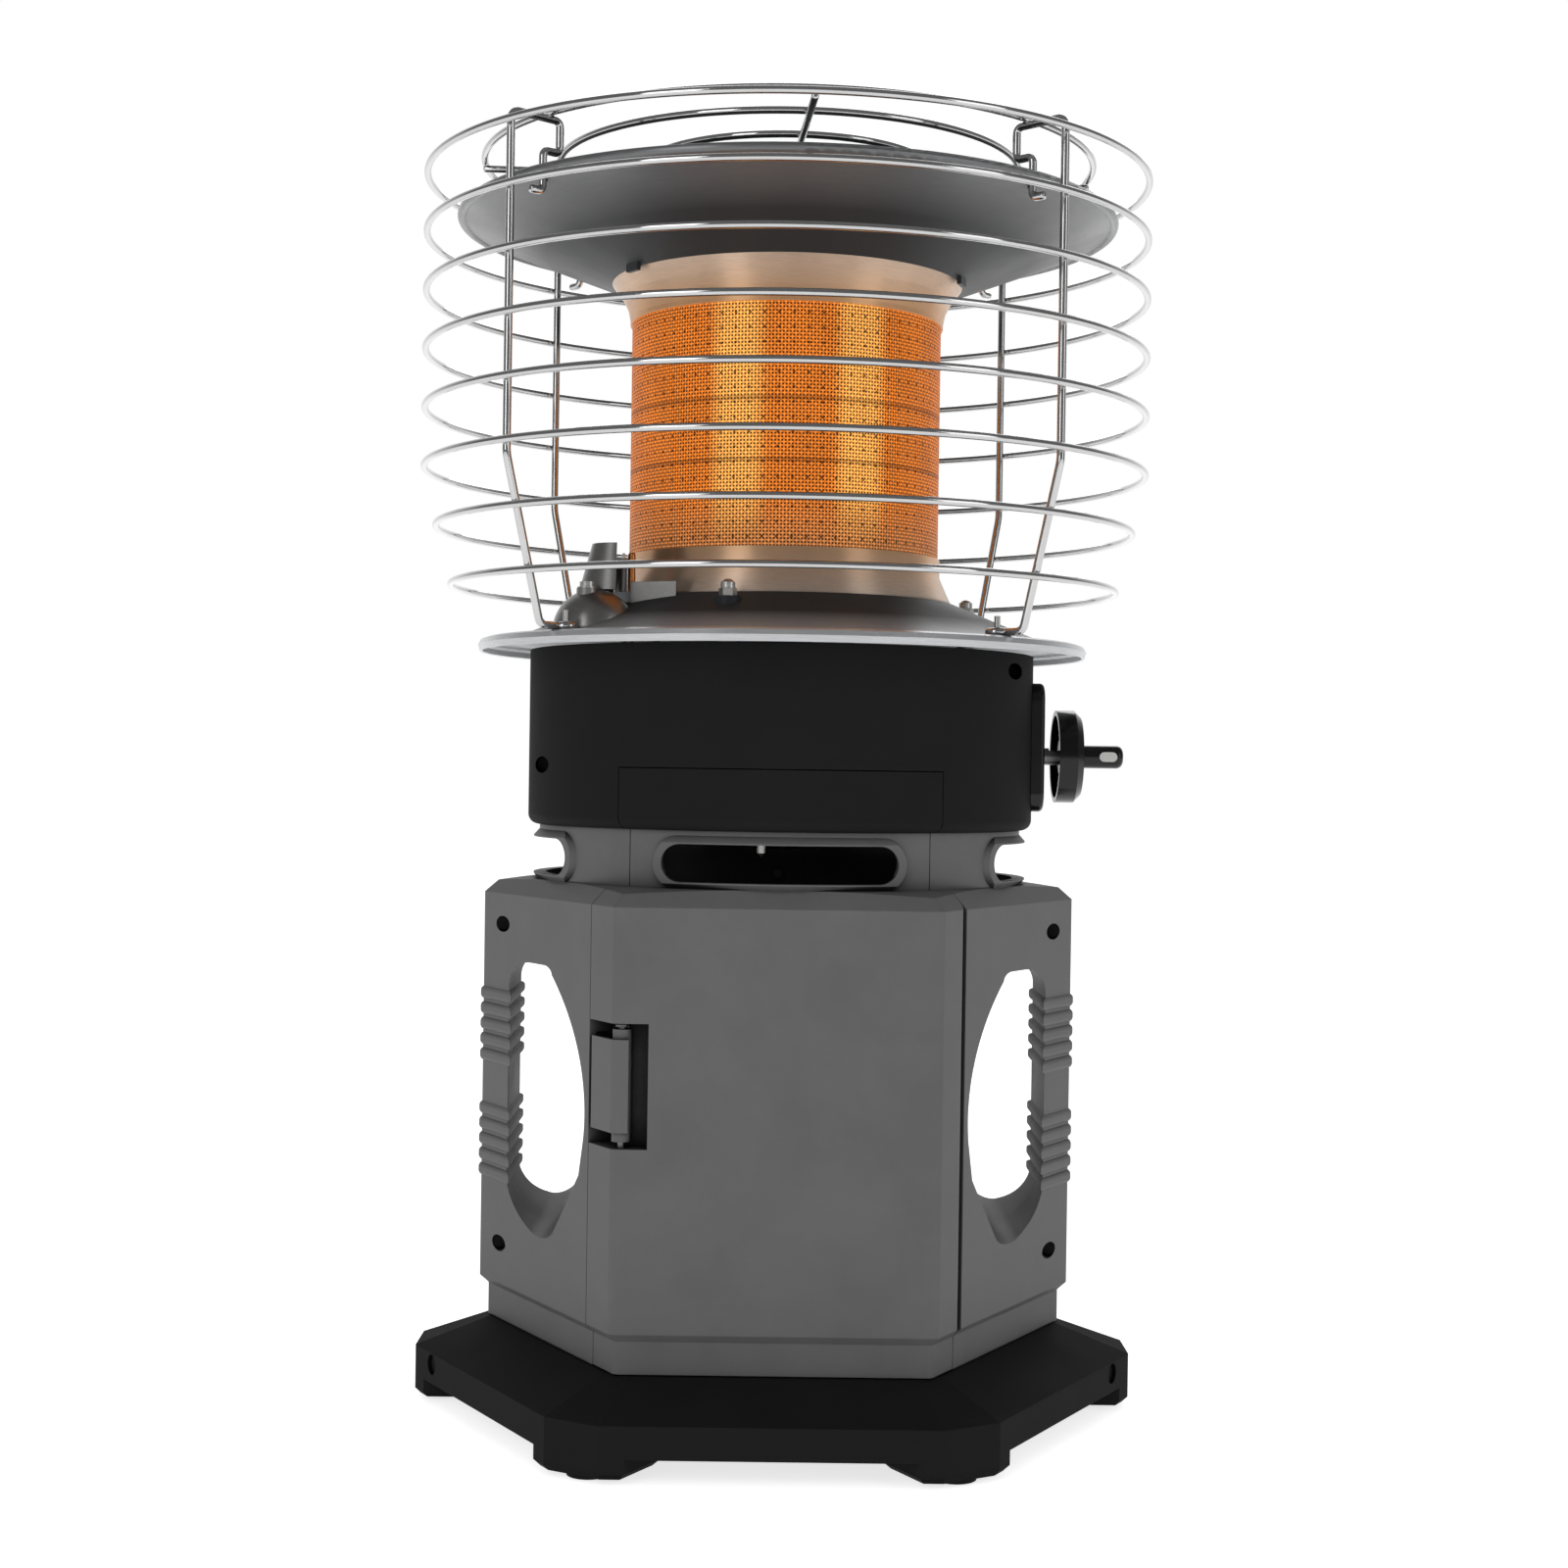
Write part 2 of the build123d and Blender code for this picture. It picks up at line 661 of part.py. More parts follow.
with BuildPart() as base:
    tray_top = base_top - base_plate
    tray_skirt_top = skirt_top - base_wall / 2
    tray_apothem = base_apothem - base_wall
    tray_reach = base_corner_reach - base_wall
    skirt = cut_hexagon(skirt_bottom, base_apothem, base_corner_reach)
    shoulder = cut_hexagon(skirt_top, base_apothem, base_corner_reach)
    loft([skirt, shoulder], ruled=True)
    loft([shoulder, cut_hexagon(base_top, base_top_apothem, base_top_reach)], ruled=True)
    skirt_inside = cut_hexagon(skirt_bottom, tray_apothem, tray_reach)
    shoulder_inside = cut_hexagon(tray_skirt_top, tray_apothem, tray_reach)
    loft([skirt_inside, shoulder_inside], ruled=True, mode=Mode.SUBTRACT)
    ceiling = cut_hexagon(tray_top, base_top_apothem, base_top_reach)
    loft([shoulder_inside, ceiling], ruled=True, mode=Mode.SUBTRACT)
    hexagon_layer(base_top - base_plate / 2, floor_top, floor_apothem, floor_apothem)
    # corner feet, bevelled below
    with BuildSketch(Plane.XY.offset(foot_bottom)):
        foot_plan(foot_chamfer)
    extrude(amount=foot_chamfer, taper=-45)
    with BuildSketch(Plane.XY.offset(foot_bottom + foot_chamfer)):
        foot_plan(0)
    extrude(amount=tray_skirt_top - foot_bottom - foot_chamfer)
    with BuildSketch(Plane.XY.offset(foot_bottom)):
        with PolarLocations(pad_circle, 6):
            Circle(pad_plug_radius + shaft_fit)
    extrude(amount=pad_plug_height + shaft_fit, mode=Mode.SUBTRACT)
    for place in base_screw_places:
        bore = Plane((*place, tray_top), z_dir=(0, 0, 1))
        rod(bore, screw_radius + shaft_fit, 2 * base_plate, Mode.SUBTRACT)
    # blind holes beside the two side corners
    for side in (-1, 1):
        base_dowel_y = -(base_apothem / cos30 - base_dowel_x) / tan30
        hole_centre = (side * base_dowel_x, base_dowel_y, skirt_bottom + base_dowel_rise)
        hole = Plane(hole_centre, z_dir=(-side * cos30, 0.5, 0))
        rod(hole.offset(-cut_over), base_dowel_radius, base_wall / 2 + cut_over, Mode.SUBTRACT)
base.part.label = "base"
export_step(base.part, "parts/base.step")

with BuildPart() as foot_pads:
    with BuildSketch():
        with PolarLocations(pad_circle, 6):
            Circle(pad_radius)
    extrude(amount=pad_height)
    with BuildSketch(Plane.XY.offset(pad_height)):
        with PolarLocations(pad_circle, 6):
            Circle(pad_plug_radius)
    extrude(amount=pad_plug_height)
foot_pads.part.label = "foot_pads"
export_step(foot_pads.part, "parts/foot_pads.step")

with BuildPart() as base_screws:
    for place in base_screw_places:
        screw(Plane((*place, tray_top), z_dir=(0, 0, -1)), base_screw_length)
base_screws.part.label = "base_screws"
export_step(base_screws.part, "parts/base_screws.step")


# ---------------------------------------------------------------- housing shells
def housing_fastener_holes():
    """Wells and bores of the screws that hold the shells together and to the base."""
    for side in (-1, 1):
        for rise in housing_screw_rises:
            seat = Plane((side * housing_screw_x, -housing_screw_seat, prism_bottom + rise), z_dir=(0, -1, 0))
            rod(seat, screw_well_radius, housing_radius, Mode.SUBTRACT)
            rod(seat, screw_radius + shaft_fit, -housing_screw_length - shaft_fit, Mode.SUBTRACT)
    for place in base_screw_places:
        bore = Plane((*place, base_top), z_dir=(0, 0, 1))
        rod(bore, screw_radius + shaft_fit, base_screw_length - base_plate + shaft_fit, Mode.SUBTRACT)


with BuildPart() as body_front:
    add(housing_form.part)
    split(bisect_by=Plane.XZ, keep=Keep.TOP)
    door_sector(0, base_top, neck_top, mode=Mode.SUBTRACT)
    add(core.part, mode=Mode.SUBTRACT)

# the bay reaches the outer wall everywhere except behind the seam flanges
with BuildPart() as front_bay:
    add(bay.part)
    door_sector(-housing_wall, base_top, neck_top, mode=Mode.SUBTRACT)

# the latch nose swings in through a notch in the seam flange of the left shell
with BuildPart() as latch_notch:
    notch_bottom = latch_bottom - latch_notch_room
    notch_top = latch_top + latch_notch_room
    hexagon_layer(notch_bottom, notch_top, housing_apothem - housing_wall, housing_apothem - housing_wall)
    door_sector(-housing_wall - latch_notch_room, notch_bottom, notch_top, mode=Mode.INTERSECT)
    block(notch_bottom, notch_top, (0, housing_radius), (-housing_radius, 0), mode=Mode.SUBTRACT)

with BuildPart() as body_front_left:
    add(body_front.part)
    add(front_bay.part, mode=Mode.SUBTRACT)
    split(bisect_by=Plane.YZ, keep=Keep.BOTTOM)
    housing_fastener_holes()
    add(latch_notch.part, mode=Mode.SUBTRACT)
body_front_left.part.label = "body_front_left"
export_step(body_front_left.part, "parts/body_front_left.step")

# hinge ears reach round the door's edge from the seam flange of the right shell
with BuildPart() as hinge_ears:
    arm_end = flange_depth - hinge_depth
    for level in hinge_ear_levels:
        with BuildSketch(hinge_frame.offset(level)):
            Circle(hinge_ear_radius)
            with Locations((arm_end / 2, 0)):
                Rectangle(arm_end, hinge_arm_width)
            with Locations((arm_end - hinge_arm_width / 2, -(hinge_setback + housing_wall) / 2)):
                Rectangle(hinge_arm_width, hinge_setback + housing_wall)
            Circle(hinge_pin_radius + shaft_fit, mode=Mode.SUBTRACT)
        extrude(amount=hinge_ear_height)

with BuildPart() as body_front_right:
    add(body_front.part)
    add(front_bay.part, mode=Mode.SUBTRACT)
    split(bisect_by=Plane.YZ, keep=Keep.TOP)
    housing_fastener_holes()
    add(hinge_ears.part)
body_front_right.part.label = "body_front_right"
export_step(body_front_right.part, "parts/body_front_right.step")

with BuildPart() as body_rear:
    add(housing_form.part)
    add(bay.part, mode=Mode.SUBTRACT)
    split(bisect_by=Plane.XZ, keep=Keep.BOTTOM)
    for side in (-1, 1):
        boss = Plane((side * base_screw_rear[0], base_screw_rear[1], floor_top), z_dir=(0, 0, 1))
        rod(boss, base_boss_radius, base_boss_height)
        block(
            floor_top,
            floor_top + base_boss_height,
            (side * base_screw_rear[0] - housing_wall / 2, side * base_screw_rear[0] + housing_wall / 2),
            (base_screw_rear[1], plinth_apothem - housing_wall / 2),
        )
    add(floor_seat.part, mode=Mode.SUBTRACT)
    housing_fastener_holes()
body_rear.part.label = "body_rear"
export_step(body_rear.part, "parts/body_rear.step")

with BuildPart() as body_screws:
    for side in (-1, 1):
        for rise in housing_screw_rises:
            seat = Plane((side * housing_screw_x, -housing_screw_seat, prism_bottom + rise), z_dir=(0, -1, 0))
            screw(seat, housing_screw_length)
body_screws.part.label = "body_screws"
export_step(body_screws.part, "parts/body_screws.step")

# dark lining behind the rear wall of the neck
with BuildPart() as neck_liner:
    with BuildSketch(Plane.XY.offset(neck_top - liner_height)):
        with BuildLine():
            start = polar(90 - liner_half_angle, liner_radius)
            finish = polar(90 + liner_half_angle, liner_radius)
            inner_start = polar(90 - liner_half_angle, liner_radius - liner_wall)
            inner_finish = polar(90 + liner_half_angle, liner_radius - liner_wall)
            ThreePointArc(start, (0, liner_radius), finish)
            Line(finish, inner_finish)
            ThreePointArc(inner_finish, (0, liner_radius - liner_wall), inner_start)
            Line(inner_start, start)
        make_face()
    extrude(amount=liner_height)
    recess = Plane((0, liner_radius + cut_over, liner_recess_level), z_dir=(0, -1, 0))
    rod(recess, liner_recess_radius, 2 * liner_wall, Mode.SUBTRACT)
neck_liner.part.label = "neck_liner"
export_step(neck_liner.part, "parts/neck_liner.step")


# ---------------------------------------------------------------- door
with BuildPart() as door_bay:
    add(bay.part)
    door_sector(door_gap + housing_wall, base_top, neck_top, mode=Mode.INTERSECT)

# room for the hinge ears and for their arms as the door swings
with BuildPart() as hinge_room:
    for level in hinge_ear_levels:
        with BuildSketch(hinge_frame.offset(level - pass_gap)):
            Circle(hinge_ear_radius + pass_gap)
            with Locations((sum(hinge_room_along) / 2, sum(hinge_room_across) / 2)):
                Rectangle(
                    hinge_room_along[1] - hinge_room_along[0], hinge_room_across[1] - hinge_room_across[0]
                )
        extrude(amount=hinge_ear_height + 2 * pass_gap)

# the door's hinge edge is rounded about the pins
with BuildPart() as hinge_corner:
    with BuildSketch(hinge_frame.offset(base_top)):
        with Locations((-hinge_depth, -hinge_setback)):
            Rectangle(2 * hinge_depth, 2 * hinge_setback)
        Circle(hinge_depth, mode=Mode.SUBTRACT)
    extrude(amount=shoulder_top - base_top)

with BuildPart() as latch_recess:
    hexagon_layer(recess_bottom, recess_top, housing_apothem + cut_over, housing_apothem + cut_over)
    recess_inside = housing_apothem - recess_depth
    with BuildSketch(Plane.XY.offset(recess_bottom)):
        rounded_hexagon(recess_inside, 0)
    extrude(amount=recess_top - recess_bottom, mode=Mode.SUBTRACT)
    door_sector(door_gap - cut_over, recess_bottom, recess_top, mode=Mode.INTERSECT)
    beyond_recess = (recess_right_x, housing_radius)
    block(recess_bottom, recess_top, beyond_recess, (-housing_radius, 0), mode=Mode.SUBTRACT)

# closed pocket behind the latch recess
with BuildPart() as latch_pocket:
    pocket_bottom = recess_bottom - recess_wall
    pocket_top = recess_top + recess_wall
    pocket_apothem = housing_apothem - housing_wall / 2
    hexagon_layer(pocket_bottom, pocket_top, pocket_apothem, pocket_apothem)
    with BuildSketch(Plane.XY.offset(pocket_bottom)):
        rounded_hexagon(housing_apothem - recess_depth - recess_wall, 0)
    extrude(amount=pocket_top - pocket_bottom, mode=Mode.SUBTRACT)
    door_sector(door_gap, pocket_bottom, pocket_top, mode=Mode.INTERSECT)
    beyond_pocket = (recess_right_x + recess_wall, housing_radius)
    block(pocket_bottom, pocket_top, beyond_pocket, (-housing_radius, 0), mode=Mode.SUBTRACT)

with BuildPart() as door_panel:
    add(housing_form.part)
    door_sector(door_gap, base_top + door_gap, neck_top, mode=Mode.INTERSECT)
    add(door_bay.part, mode=Mode.SUBTRACT)
    add(core.part, mode=Mode.SUBTRACT)
    add(latch_pocket.part)
    disc(neck_top - door_gap, neck_top, apron_flange_radius, mode=Mode.SUBTRACT)
    rod(hinge_frame.offset(prism_bottom), hinge_depth, shoulder_bottom - prism_bottom)
    add(hinge_corner.part, mode=Mode.SUBTRACT)
    add(hinge_room.part, mode=Mode.SUBTRACT)
    add(latch_recess.part, mode=Mode.SUBTRACT)
    for level in hinge_ear_levels:
        pin_start = hinge_frame.offset(level - hinge_pin_overlap - shaft_fit)
        pin_room = hinge_ear_height + 2 * (hinge_pin_overlap + shaft_fit)
        rod(pin_start, hinge_pin_radius + shaft_fit, pin_room, Mode.SUBTRACT)
    latch_bore = Plane((latch_pin_x, latch_pin_y, recess_bottom - recess_wall / 2), z_dir=(0, 0, 1))
    rod(latch_bore, latch_pin_radius + shaft_fit, recess_top - recess_bottom + recess_wall, Mode.SUBTRACT)
door_panel.part.label = "door_panel"
export_step(door_panel.part, "parts/door_panel.step")

with BuildPart() as door_hinge_pins:
    for level in hinge_ear_levels:
        pin_start = hinge_frame.offset(level - hinge_pin_overlap)
        rod(pin_start, hinge_pin_radius, hinge_ear_height + 2 * hinge_pin_overlap)
door_hinge_pins.part.label = "door_hinge_pins"
export_step(door_hinge_pins.part, "parts/door_hinge_pins.step")

with BuildPart() as latch_plate:
    hexagon_layer(latch_bottom, latch_top, housing_apothem, housing_apothem, corner_rounding)
    with BuildSketch(Plane.XY.offset(latch_bottom)):
        rounded_hexagon(housing_apothem - latch_wall, corner_rounding - latch_wall / 2)
    extrude(amount=latch_height, mode=Mode.SUBTRACT)
    door_sector(latch_seam_gap, latch_bottom, latch_top, mode=Mode.INTERSECT)
    block(latch_bottom, latch_top, (latch_right_x, housing_radius), (-housing_radius, 0), mode=Mode.SUBTRACT)

# nose at the seam end of the latch, behind the shell's outer skin
with BuildPart() as latch_nose:
    nose_outer = housing_apothem - latch_nose_depth
    nose_inner = nose_outer - latch_nose_thickness
    nose_end = latch_seam_gap + latch_nose_thickness
    nose_bottom = latch_bottom + latch_nose_margin
    nose_top = latch_top - latch_nose_margin
    hexagon_layer(nose_bottom, nose_top, nose_outer, nose_outer)
    door_sector(0, nose_bottom, nose_top, mode=Mode.INTERSECT)

with BuildPart() as latch_nose_root:
    hexagon_layer(nose_bottom, nose_top, housing_apothem - latch_wall / 2, housing_apothem - latch_wall / 2)
    door_sector(latch_seam_gap, nose_bottom, nose_top, mode=Mode.INTERSECT)

with BuildPart() as latch:
    add(latch_nose.part)
    add(latch_nose_root.part)
    with BuildSketch(Plane.XY.offset(latch_bottom)):
        rounded_hexagon(nose_inner, 0)
    extrude(amount=latch_height, mode=Mode.SUBTRACT)
    door_sector(nose_end, latch_bottom, latch_top, mode=Mode.SUBTRACT)
    block(latch_bottom, latch_top, (0, housing_radius), (-housing_radius, 0), mode=Mode.SUBTRACT)
    add(latch_plate.part)
    hub = Plane((latch_pin_x, latch_pin_y, latch_bottom - latch_hub_over), z_dir=(0, 0, 1))
    hub_height = latch_height + 2 * latch_hub_over
    rod(hub, latch_hub_radius, hub_height)
    rod(hub, latch_pin_radius + shaft_fit, hub_height, Mode.SUBTRACT)
latch.part.label = "latch"
export_step(latch.part, "parts/latch.step")

with BuildPart() as latch_pin:
    latch_pin_bottom = recess_bottom - recess_wall / 2 + shaft_fit
    pin_foot = Plane((latch_pin_x, latch_pin_y, latch_pin_bottom), z_dir=(0, 0, 1))
    rod(pin_foot, latch_pin_radius, recess_top - recess_bottom + recess_wall - 2 * shaft_fit)
latch_pin.part.label = "latch_pin"
export_step(latch_pin.part, "parts/latch_pin.step")

with BuildPart() as latch_spring:
    spring_room = recess_margin - latch_hub_over
    coil_height = spring_room - 2 * latch_spring_wire - 2 * door_gap
    coil_place = (latch_pin_x, latch_pin_y, latch_top + latch_hub_over + latch_spring_wire + door_gap)
    with BuildLine():
        coil = Helix(coil_height / 2, coil_height, latch_spring_radius, center=coil_place)
    with BuildSketch(Plane(origin=coil @ 0, z_dir=coil % 0)):
        Circle(latch_spring_wire)
    sweep()
latch_spring.part.label = "latch_spring"
export_step(latch_spring.part, "parts/latch_spring.step")

# ---------------------------------------------------------------- drum
knob_line = Plane((0, 0, knob_axis), x_dir=(0, 1, 0), z_dir=(1, 0, 0))

with BuildPart() as drum_form:
    with BuildSketch(Plane.XZ) as drum_section:
        with BuildLine():
            Polyline(
                (drum_floor_radius, drum_bottom),
                (drum_radius, drum_bottom),
                (drum_radius, drum_top),
                (drum_inner_radius, drum_top),
                (drum_inner_radius, shield_bottom),
                (drum_ledge_radius, shield_bottom),
                (drum_ledge_radius, shield_bottom - drum_wall),
                (drum_inner_radius, shield_bottom - drum_wall),
                (drum_inner_radius, drum_bottom + drum_floor),
                (drum_floor_radius, drum_bottom + drum_floor),
                close=True,
            )
        make_face()
        outer_corner = drum_section.vertices().sort_by_distance((drum_radius, 0, drum_bottom))[0]
        fillet(outer_corner, drum_rounding)
    revolve(axis=Axis.Z)

# room for the door's apron in the drum
with BuildPart() as apron_room:
    disc(drum_bottom, apron_top, 2 * drum_radius, apron_flange_radius - 2 * pass_gap)
    door_sector(0, drum_bottom, apron_top, mode=Mode.INTERSECT)

with BuildPart() as apron_hollow:
    disc(drum_bottom + drum_floor, apron_top - drum_floor, drum_inner_radius)
    door_sector(door_gap + drum_wall, drum_bottom, apron_top, mode=Mode.INTERSECT)

with BuildPart() as door_apron:
    with BuildSketch(Plane.XZ) as apron_section:
        with BuildLine():
            Polyline(
                (apron_flange_radius, drum_bottom),
                (drum_radius, drum_bottom),
                (drum_radius, apron_top - door_gap),
                (apron_flange_radius, apron_top - door_gap),
                close=True,
            )
        make_face()
        fillet(apron_section.vertices().sort_by_distance((drum_radius, drum_bottom, 0))[0], drum_rounding)
    revolve(axis=Axis.Z)
    door_sector(door_gap, drum_bottom, apron_top, mode=Mode.INTERSECT)
    add(apron_hollow.part, mode=Mode.SUBTRACT)
door_apron.part.label = "door_apron"
export_step(door_apron.part, "parts/door_apron.step")

with BuildPart() as drum_bosses:
    for x, rise in drum_screws:
        rod(Plane((x, drum_radius, drum_bottom + rise), z_dir=(0, -1, 0)), drum_boss_radius, 2 * drum_radius)
    with BuildSketch(Plane.XY.offset(drum_bottom)):
        Circle(drum_radius - drum_wall / 2)
    extrude(amount=drum_height, mode=Mode.INTERSECT)

with BuildPart() as drum_shell:
    add(drum_form.part)
    add(drum_bosses.part)
    add(apron_room.part, mode=Mode.SUBTRACT)
    for x, rise in drum_screws:
        seat = Plane((x, -drum_screw_seat, drum_bottom + rise), z_dir=(0, -1, 0))
        rod(seat, screw_well_radius, drum_radius, Mode.SUBTRACT)
        rod(seat, screw_radius + shaft_fit, -drum_screw_length - shaft_fit, Mode.SUBTRACT)
    rod(knob_line, bezel_collar_radius + shaft_fit, 2 * drum_radius, Mode.SUBTRACT)
    for angle in bracket_screw_angles:
        place = (*polar(angle, bracket_screw_circle), drum_bottom)
        rod(Plane(place, z_dir=(0, 0, 1)), bracket_screw_radius + shaft_fit, drum_floor, Mode.SUBTRACT)

with BuildPart() as drum_front:
    add(drum_shell.part)
    split(bisect_by=Plane.XZ, keep=Keep.TOP)
drum_front.part.label = "drum_front"
export_step(drum_front.part, "parts/drum_front.step")

with BuildPart() as drum_rear:
    add(drum_shell.part)
    split(bisect_by=Plane.XZ, keep=Keep.BOTTOM)
drum_rear.part.label = "drum_rear"
export_step(drum_rear.part, "parts/drum_rear.step")

with BuildPart() as drum_screw_set:
    for x, rise in drum_screws:
        screw(Plane((x, -drum_screw_seat, drum_bottom + rise), z_dir=(0, -1, 0)), drum_screw_length)
drum_screw_set.part.label = "drum_screws"
export_step(drum_screw_set.part, "parts/drum_screws.step")

with BuildPart() as control_bezel:
    with BuildSketch(knob_line.offset(drum_inner_radius - bezel_root)):
        with Locations((0, bezel_height / 2 - bezel_drop)):
            RectangleRounded(bezel_width, bezel_height, bezel_rounding)
    extrude(amount=bezel_face - drum_inner_radius + bezel_root)
    fillet(control_bezel.faces().sort_by(Axis.X)[-1].edges(), bezel_thickness / 2)
    disc(drum_bottom, drum_top, drum_radius + shaft_fit, mode=Mode.SUBTRACT)
    rod(knob_line.offset(drum_radius - bezel_collar_length), bezel_collar_radius, bezel_collar_length)
    rod(knob_line, stem_radius + door_gap, 2 * drum_radius, Mode.SUBTRACT)
control_bezel.part.label = "control_bezel"
export_step(control_bezel.part, "parts/control_bezel.step")


# ---------------------------------------------------------------- gas train
with BuildPart() as valve_bracket:
    disc(drum_bottom + drum_floor, bracket_top, bracket_radius, inlet_radius + shaft_fit)
    for angle in bracket_screw_angles:
        place = (*polar(angle, bracket_screw_circle), drum_bottom + drum_floor)
        rod(Plane(place, z_dir=(0, 0, 1)), bracket_screw_radius + shaft_fit, sheet, Mode.SUBTRACT)
valve_bracket.part.label = "valve_bracket"
export_step(valve_bracket.part, "parts/valve_bracket.step")

with BuildPart() as bracket_screws:
    for angle in bracket_screw_angles:
        seat = Plane((*polar(angle, bracket_screw_circle), bracket_top), z_dir=(0, 0, 1))
        screw(seat, bracket_screw_length - bracket_screw_radius, bracket_screw_radius)
        tip = seat.offset(-bracket_screw_length + bracket_screw_radius)
        with BuildSketch(tip):
            Circle(bracket_screw_radius)
        extrude(amount=-bracket_screw_radius, taper=screw_point_taper)
bracket_screws.part.label = "bracket_screws"
export_step(bracket_screws.part, "parts/bracket_screws.step")

with BuildPart() as inlet_socket:
    disc(inlet_mouth, bracket_top, inlet_radius)
    disc(bracket_top, regulator_bottom, inlet_flange_radius)
    chamfer(inlet_socket.edges().sort_by(Axis.Z)[0], inlet_chamfer)
    bore_end = inlet_mouth + inlet_bore_depth
    relief_end = bore_end + inlet_relief_depth
    disc(inlet_mouth, bore_end, inlet_bore_radius, mode=Mode.SUBTRACT)
    disc(bore_end, relief_end, inlet_relief_radius, mode=Mode.SUBTRACT)
    disc(relief_end - seal_height, relief_end, inlet_probe_radius)
inlet_socket.part.label = "inlet_socket"
export_step(inlet_socket.part, "parts/inlet_socket.step")

with BuildPart() as inlet_seal:
    disc(relief_end - seal_height, relief_end, inlet_relief_radius - shaft_fit, seal_inner_radius)
inlet_seal.part.label = "inlet_seal"
export_step(inlet_seal.part, "parts/inlet_seal.step")

with BuildPart() as regulator_body:
    turned(
        (0, regulator_bottom),
        (regulator_neck, regulator_bottom),
        (regulator_neck, regulator_bottom + regulator_flange),
        (regulator_radius, regulator_bottom + regulator_flange),
        (regulator_radius, regulator_bottom + 2 * regulator_flange),
        (regulator_neck, regulator_top),
        (0, regulator_top),
    )
regulator_body.part.label = "regulator_body"
export_step(regulator_body.part, "parts/regulator_body.step")

with BuildPart() as valve_body:
    manifold_top = knob_axis + manifold_half_height
    manifold_span = (-manifold_half_width, manifold_half_width)
    block(regulator_top, manifold_top, (valve_back_x, manifold_front_x), manifold_span)
    valve_span = (-valve_half_width, valve_half_width)
    block(regulator_top, knob_axis + valve_half_height, (manifold_front_x, valve_front_x), valve_span)
    upright_edges = valve_body.edges().filter_by(Axis.Z).group_by(Axis.X)
    fillet(upright_edges[0] + upright_edges[-1], valve_rounding)
    bore_length = valve_front_x - valve_bore_end_x
    rod(knob_line.offset(valve_bore_end_x), valve_bore_radius + shaft_fit, bore_length, Mode.SUBTRACT)
valve_body.part.label = "valve_body"
export_step(valve_body.part, "parts/valve_body.step")

with BuildPart() as stem_gland:
    rod(knob_line.offset(gland_back), valve_bore_radius, valve_front_x - gland_back)
    with BuildSketch(knob_line.offset(valve_front_x)):
        RegularPolygon(gland_flange_radius, 6)
    extrude(amount=gland_flange)
    rod(knob_line.offset(gland_back), stem_radius + shaft_fit, 2 * drum_radius, Mode.SUBTRACT)
stem_gland.part.label = "stem_gland"
export_step(stem_gland.part, "parts/stem_gland.step")

with BuildPart() as push_plunger:
    rod(knob_line.offset(plunger_back), valve_bore_radius - shaft_fit, plunger_length)
    fillet(push_plunger.faces().sort_by(Axis.X)[0].edges(), edge_break)
push_plunger.part.label = "push_plunger"
export_step(push_plunger.part, "parts/push_plunger.step")

with BuildPart() as stem_spring:
    spring_foot = knob_line.offset(valve_bore_end_x + stem_spring_wire + shaft_fit)
    spring_travel = stem_spring_length - 2 * stem_spring_wire
    with BuildLine():
        stem_coil = Helix(
            spring_travel / 3,
            spring_travel,
            stem_spring_radius,
            center=spring_foot.origin,
            direction=(1, 0, 0),
        )
    with BuildSketch(Plane(origin=stem_coil @ 0, z_dir=stem_coil % 0)):
        Circle(stem_spring_wire)
    sweep()
stem_spring.part.label = "stem_spring"
export_step(stem_spring.part, "parts/stem_spring.step")

with BuildPart() as valve_stem:
    rod(knob_line.offset(plunger_front), stem_radius, stem_front - plunger_front)
    chamfer(valve_stem.edges().sort_by(Axis.X)[-1], stem_radius / 8)
    with BuildSketch(knob_line.offset(stem_front)):
        with Locations((0, stem_flat + stem_radius / 2)):
            Rectangle(2 * stem_radius, stem_radius)
    extrude(amount=-stem_flat_length, mode=Mode.SUBTRACT)
valve_stem.part.label = "valve_stem"
export_step(valve_stem.part, "parts/valve_stem.step")

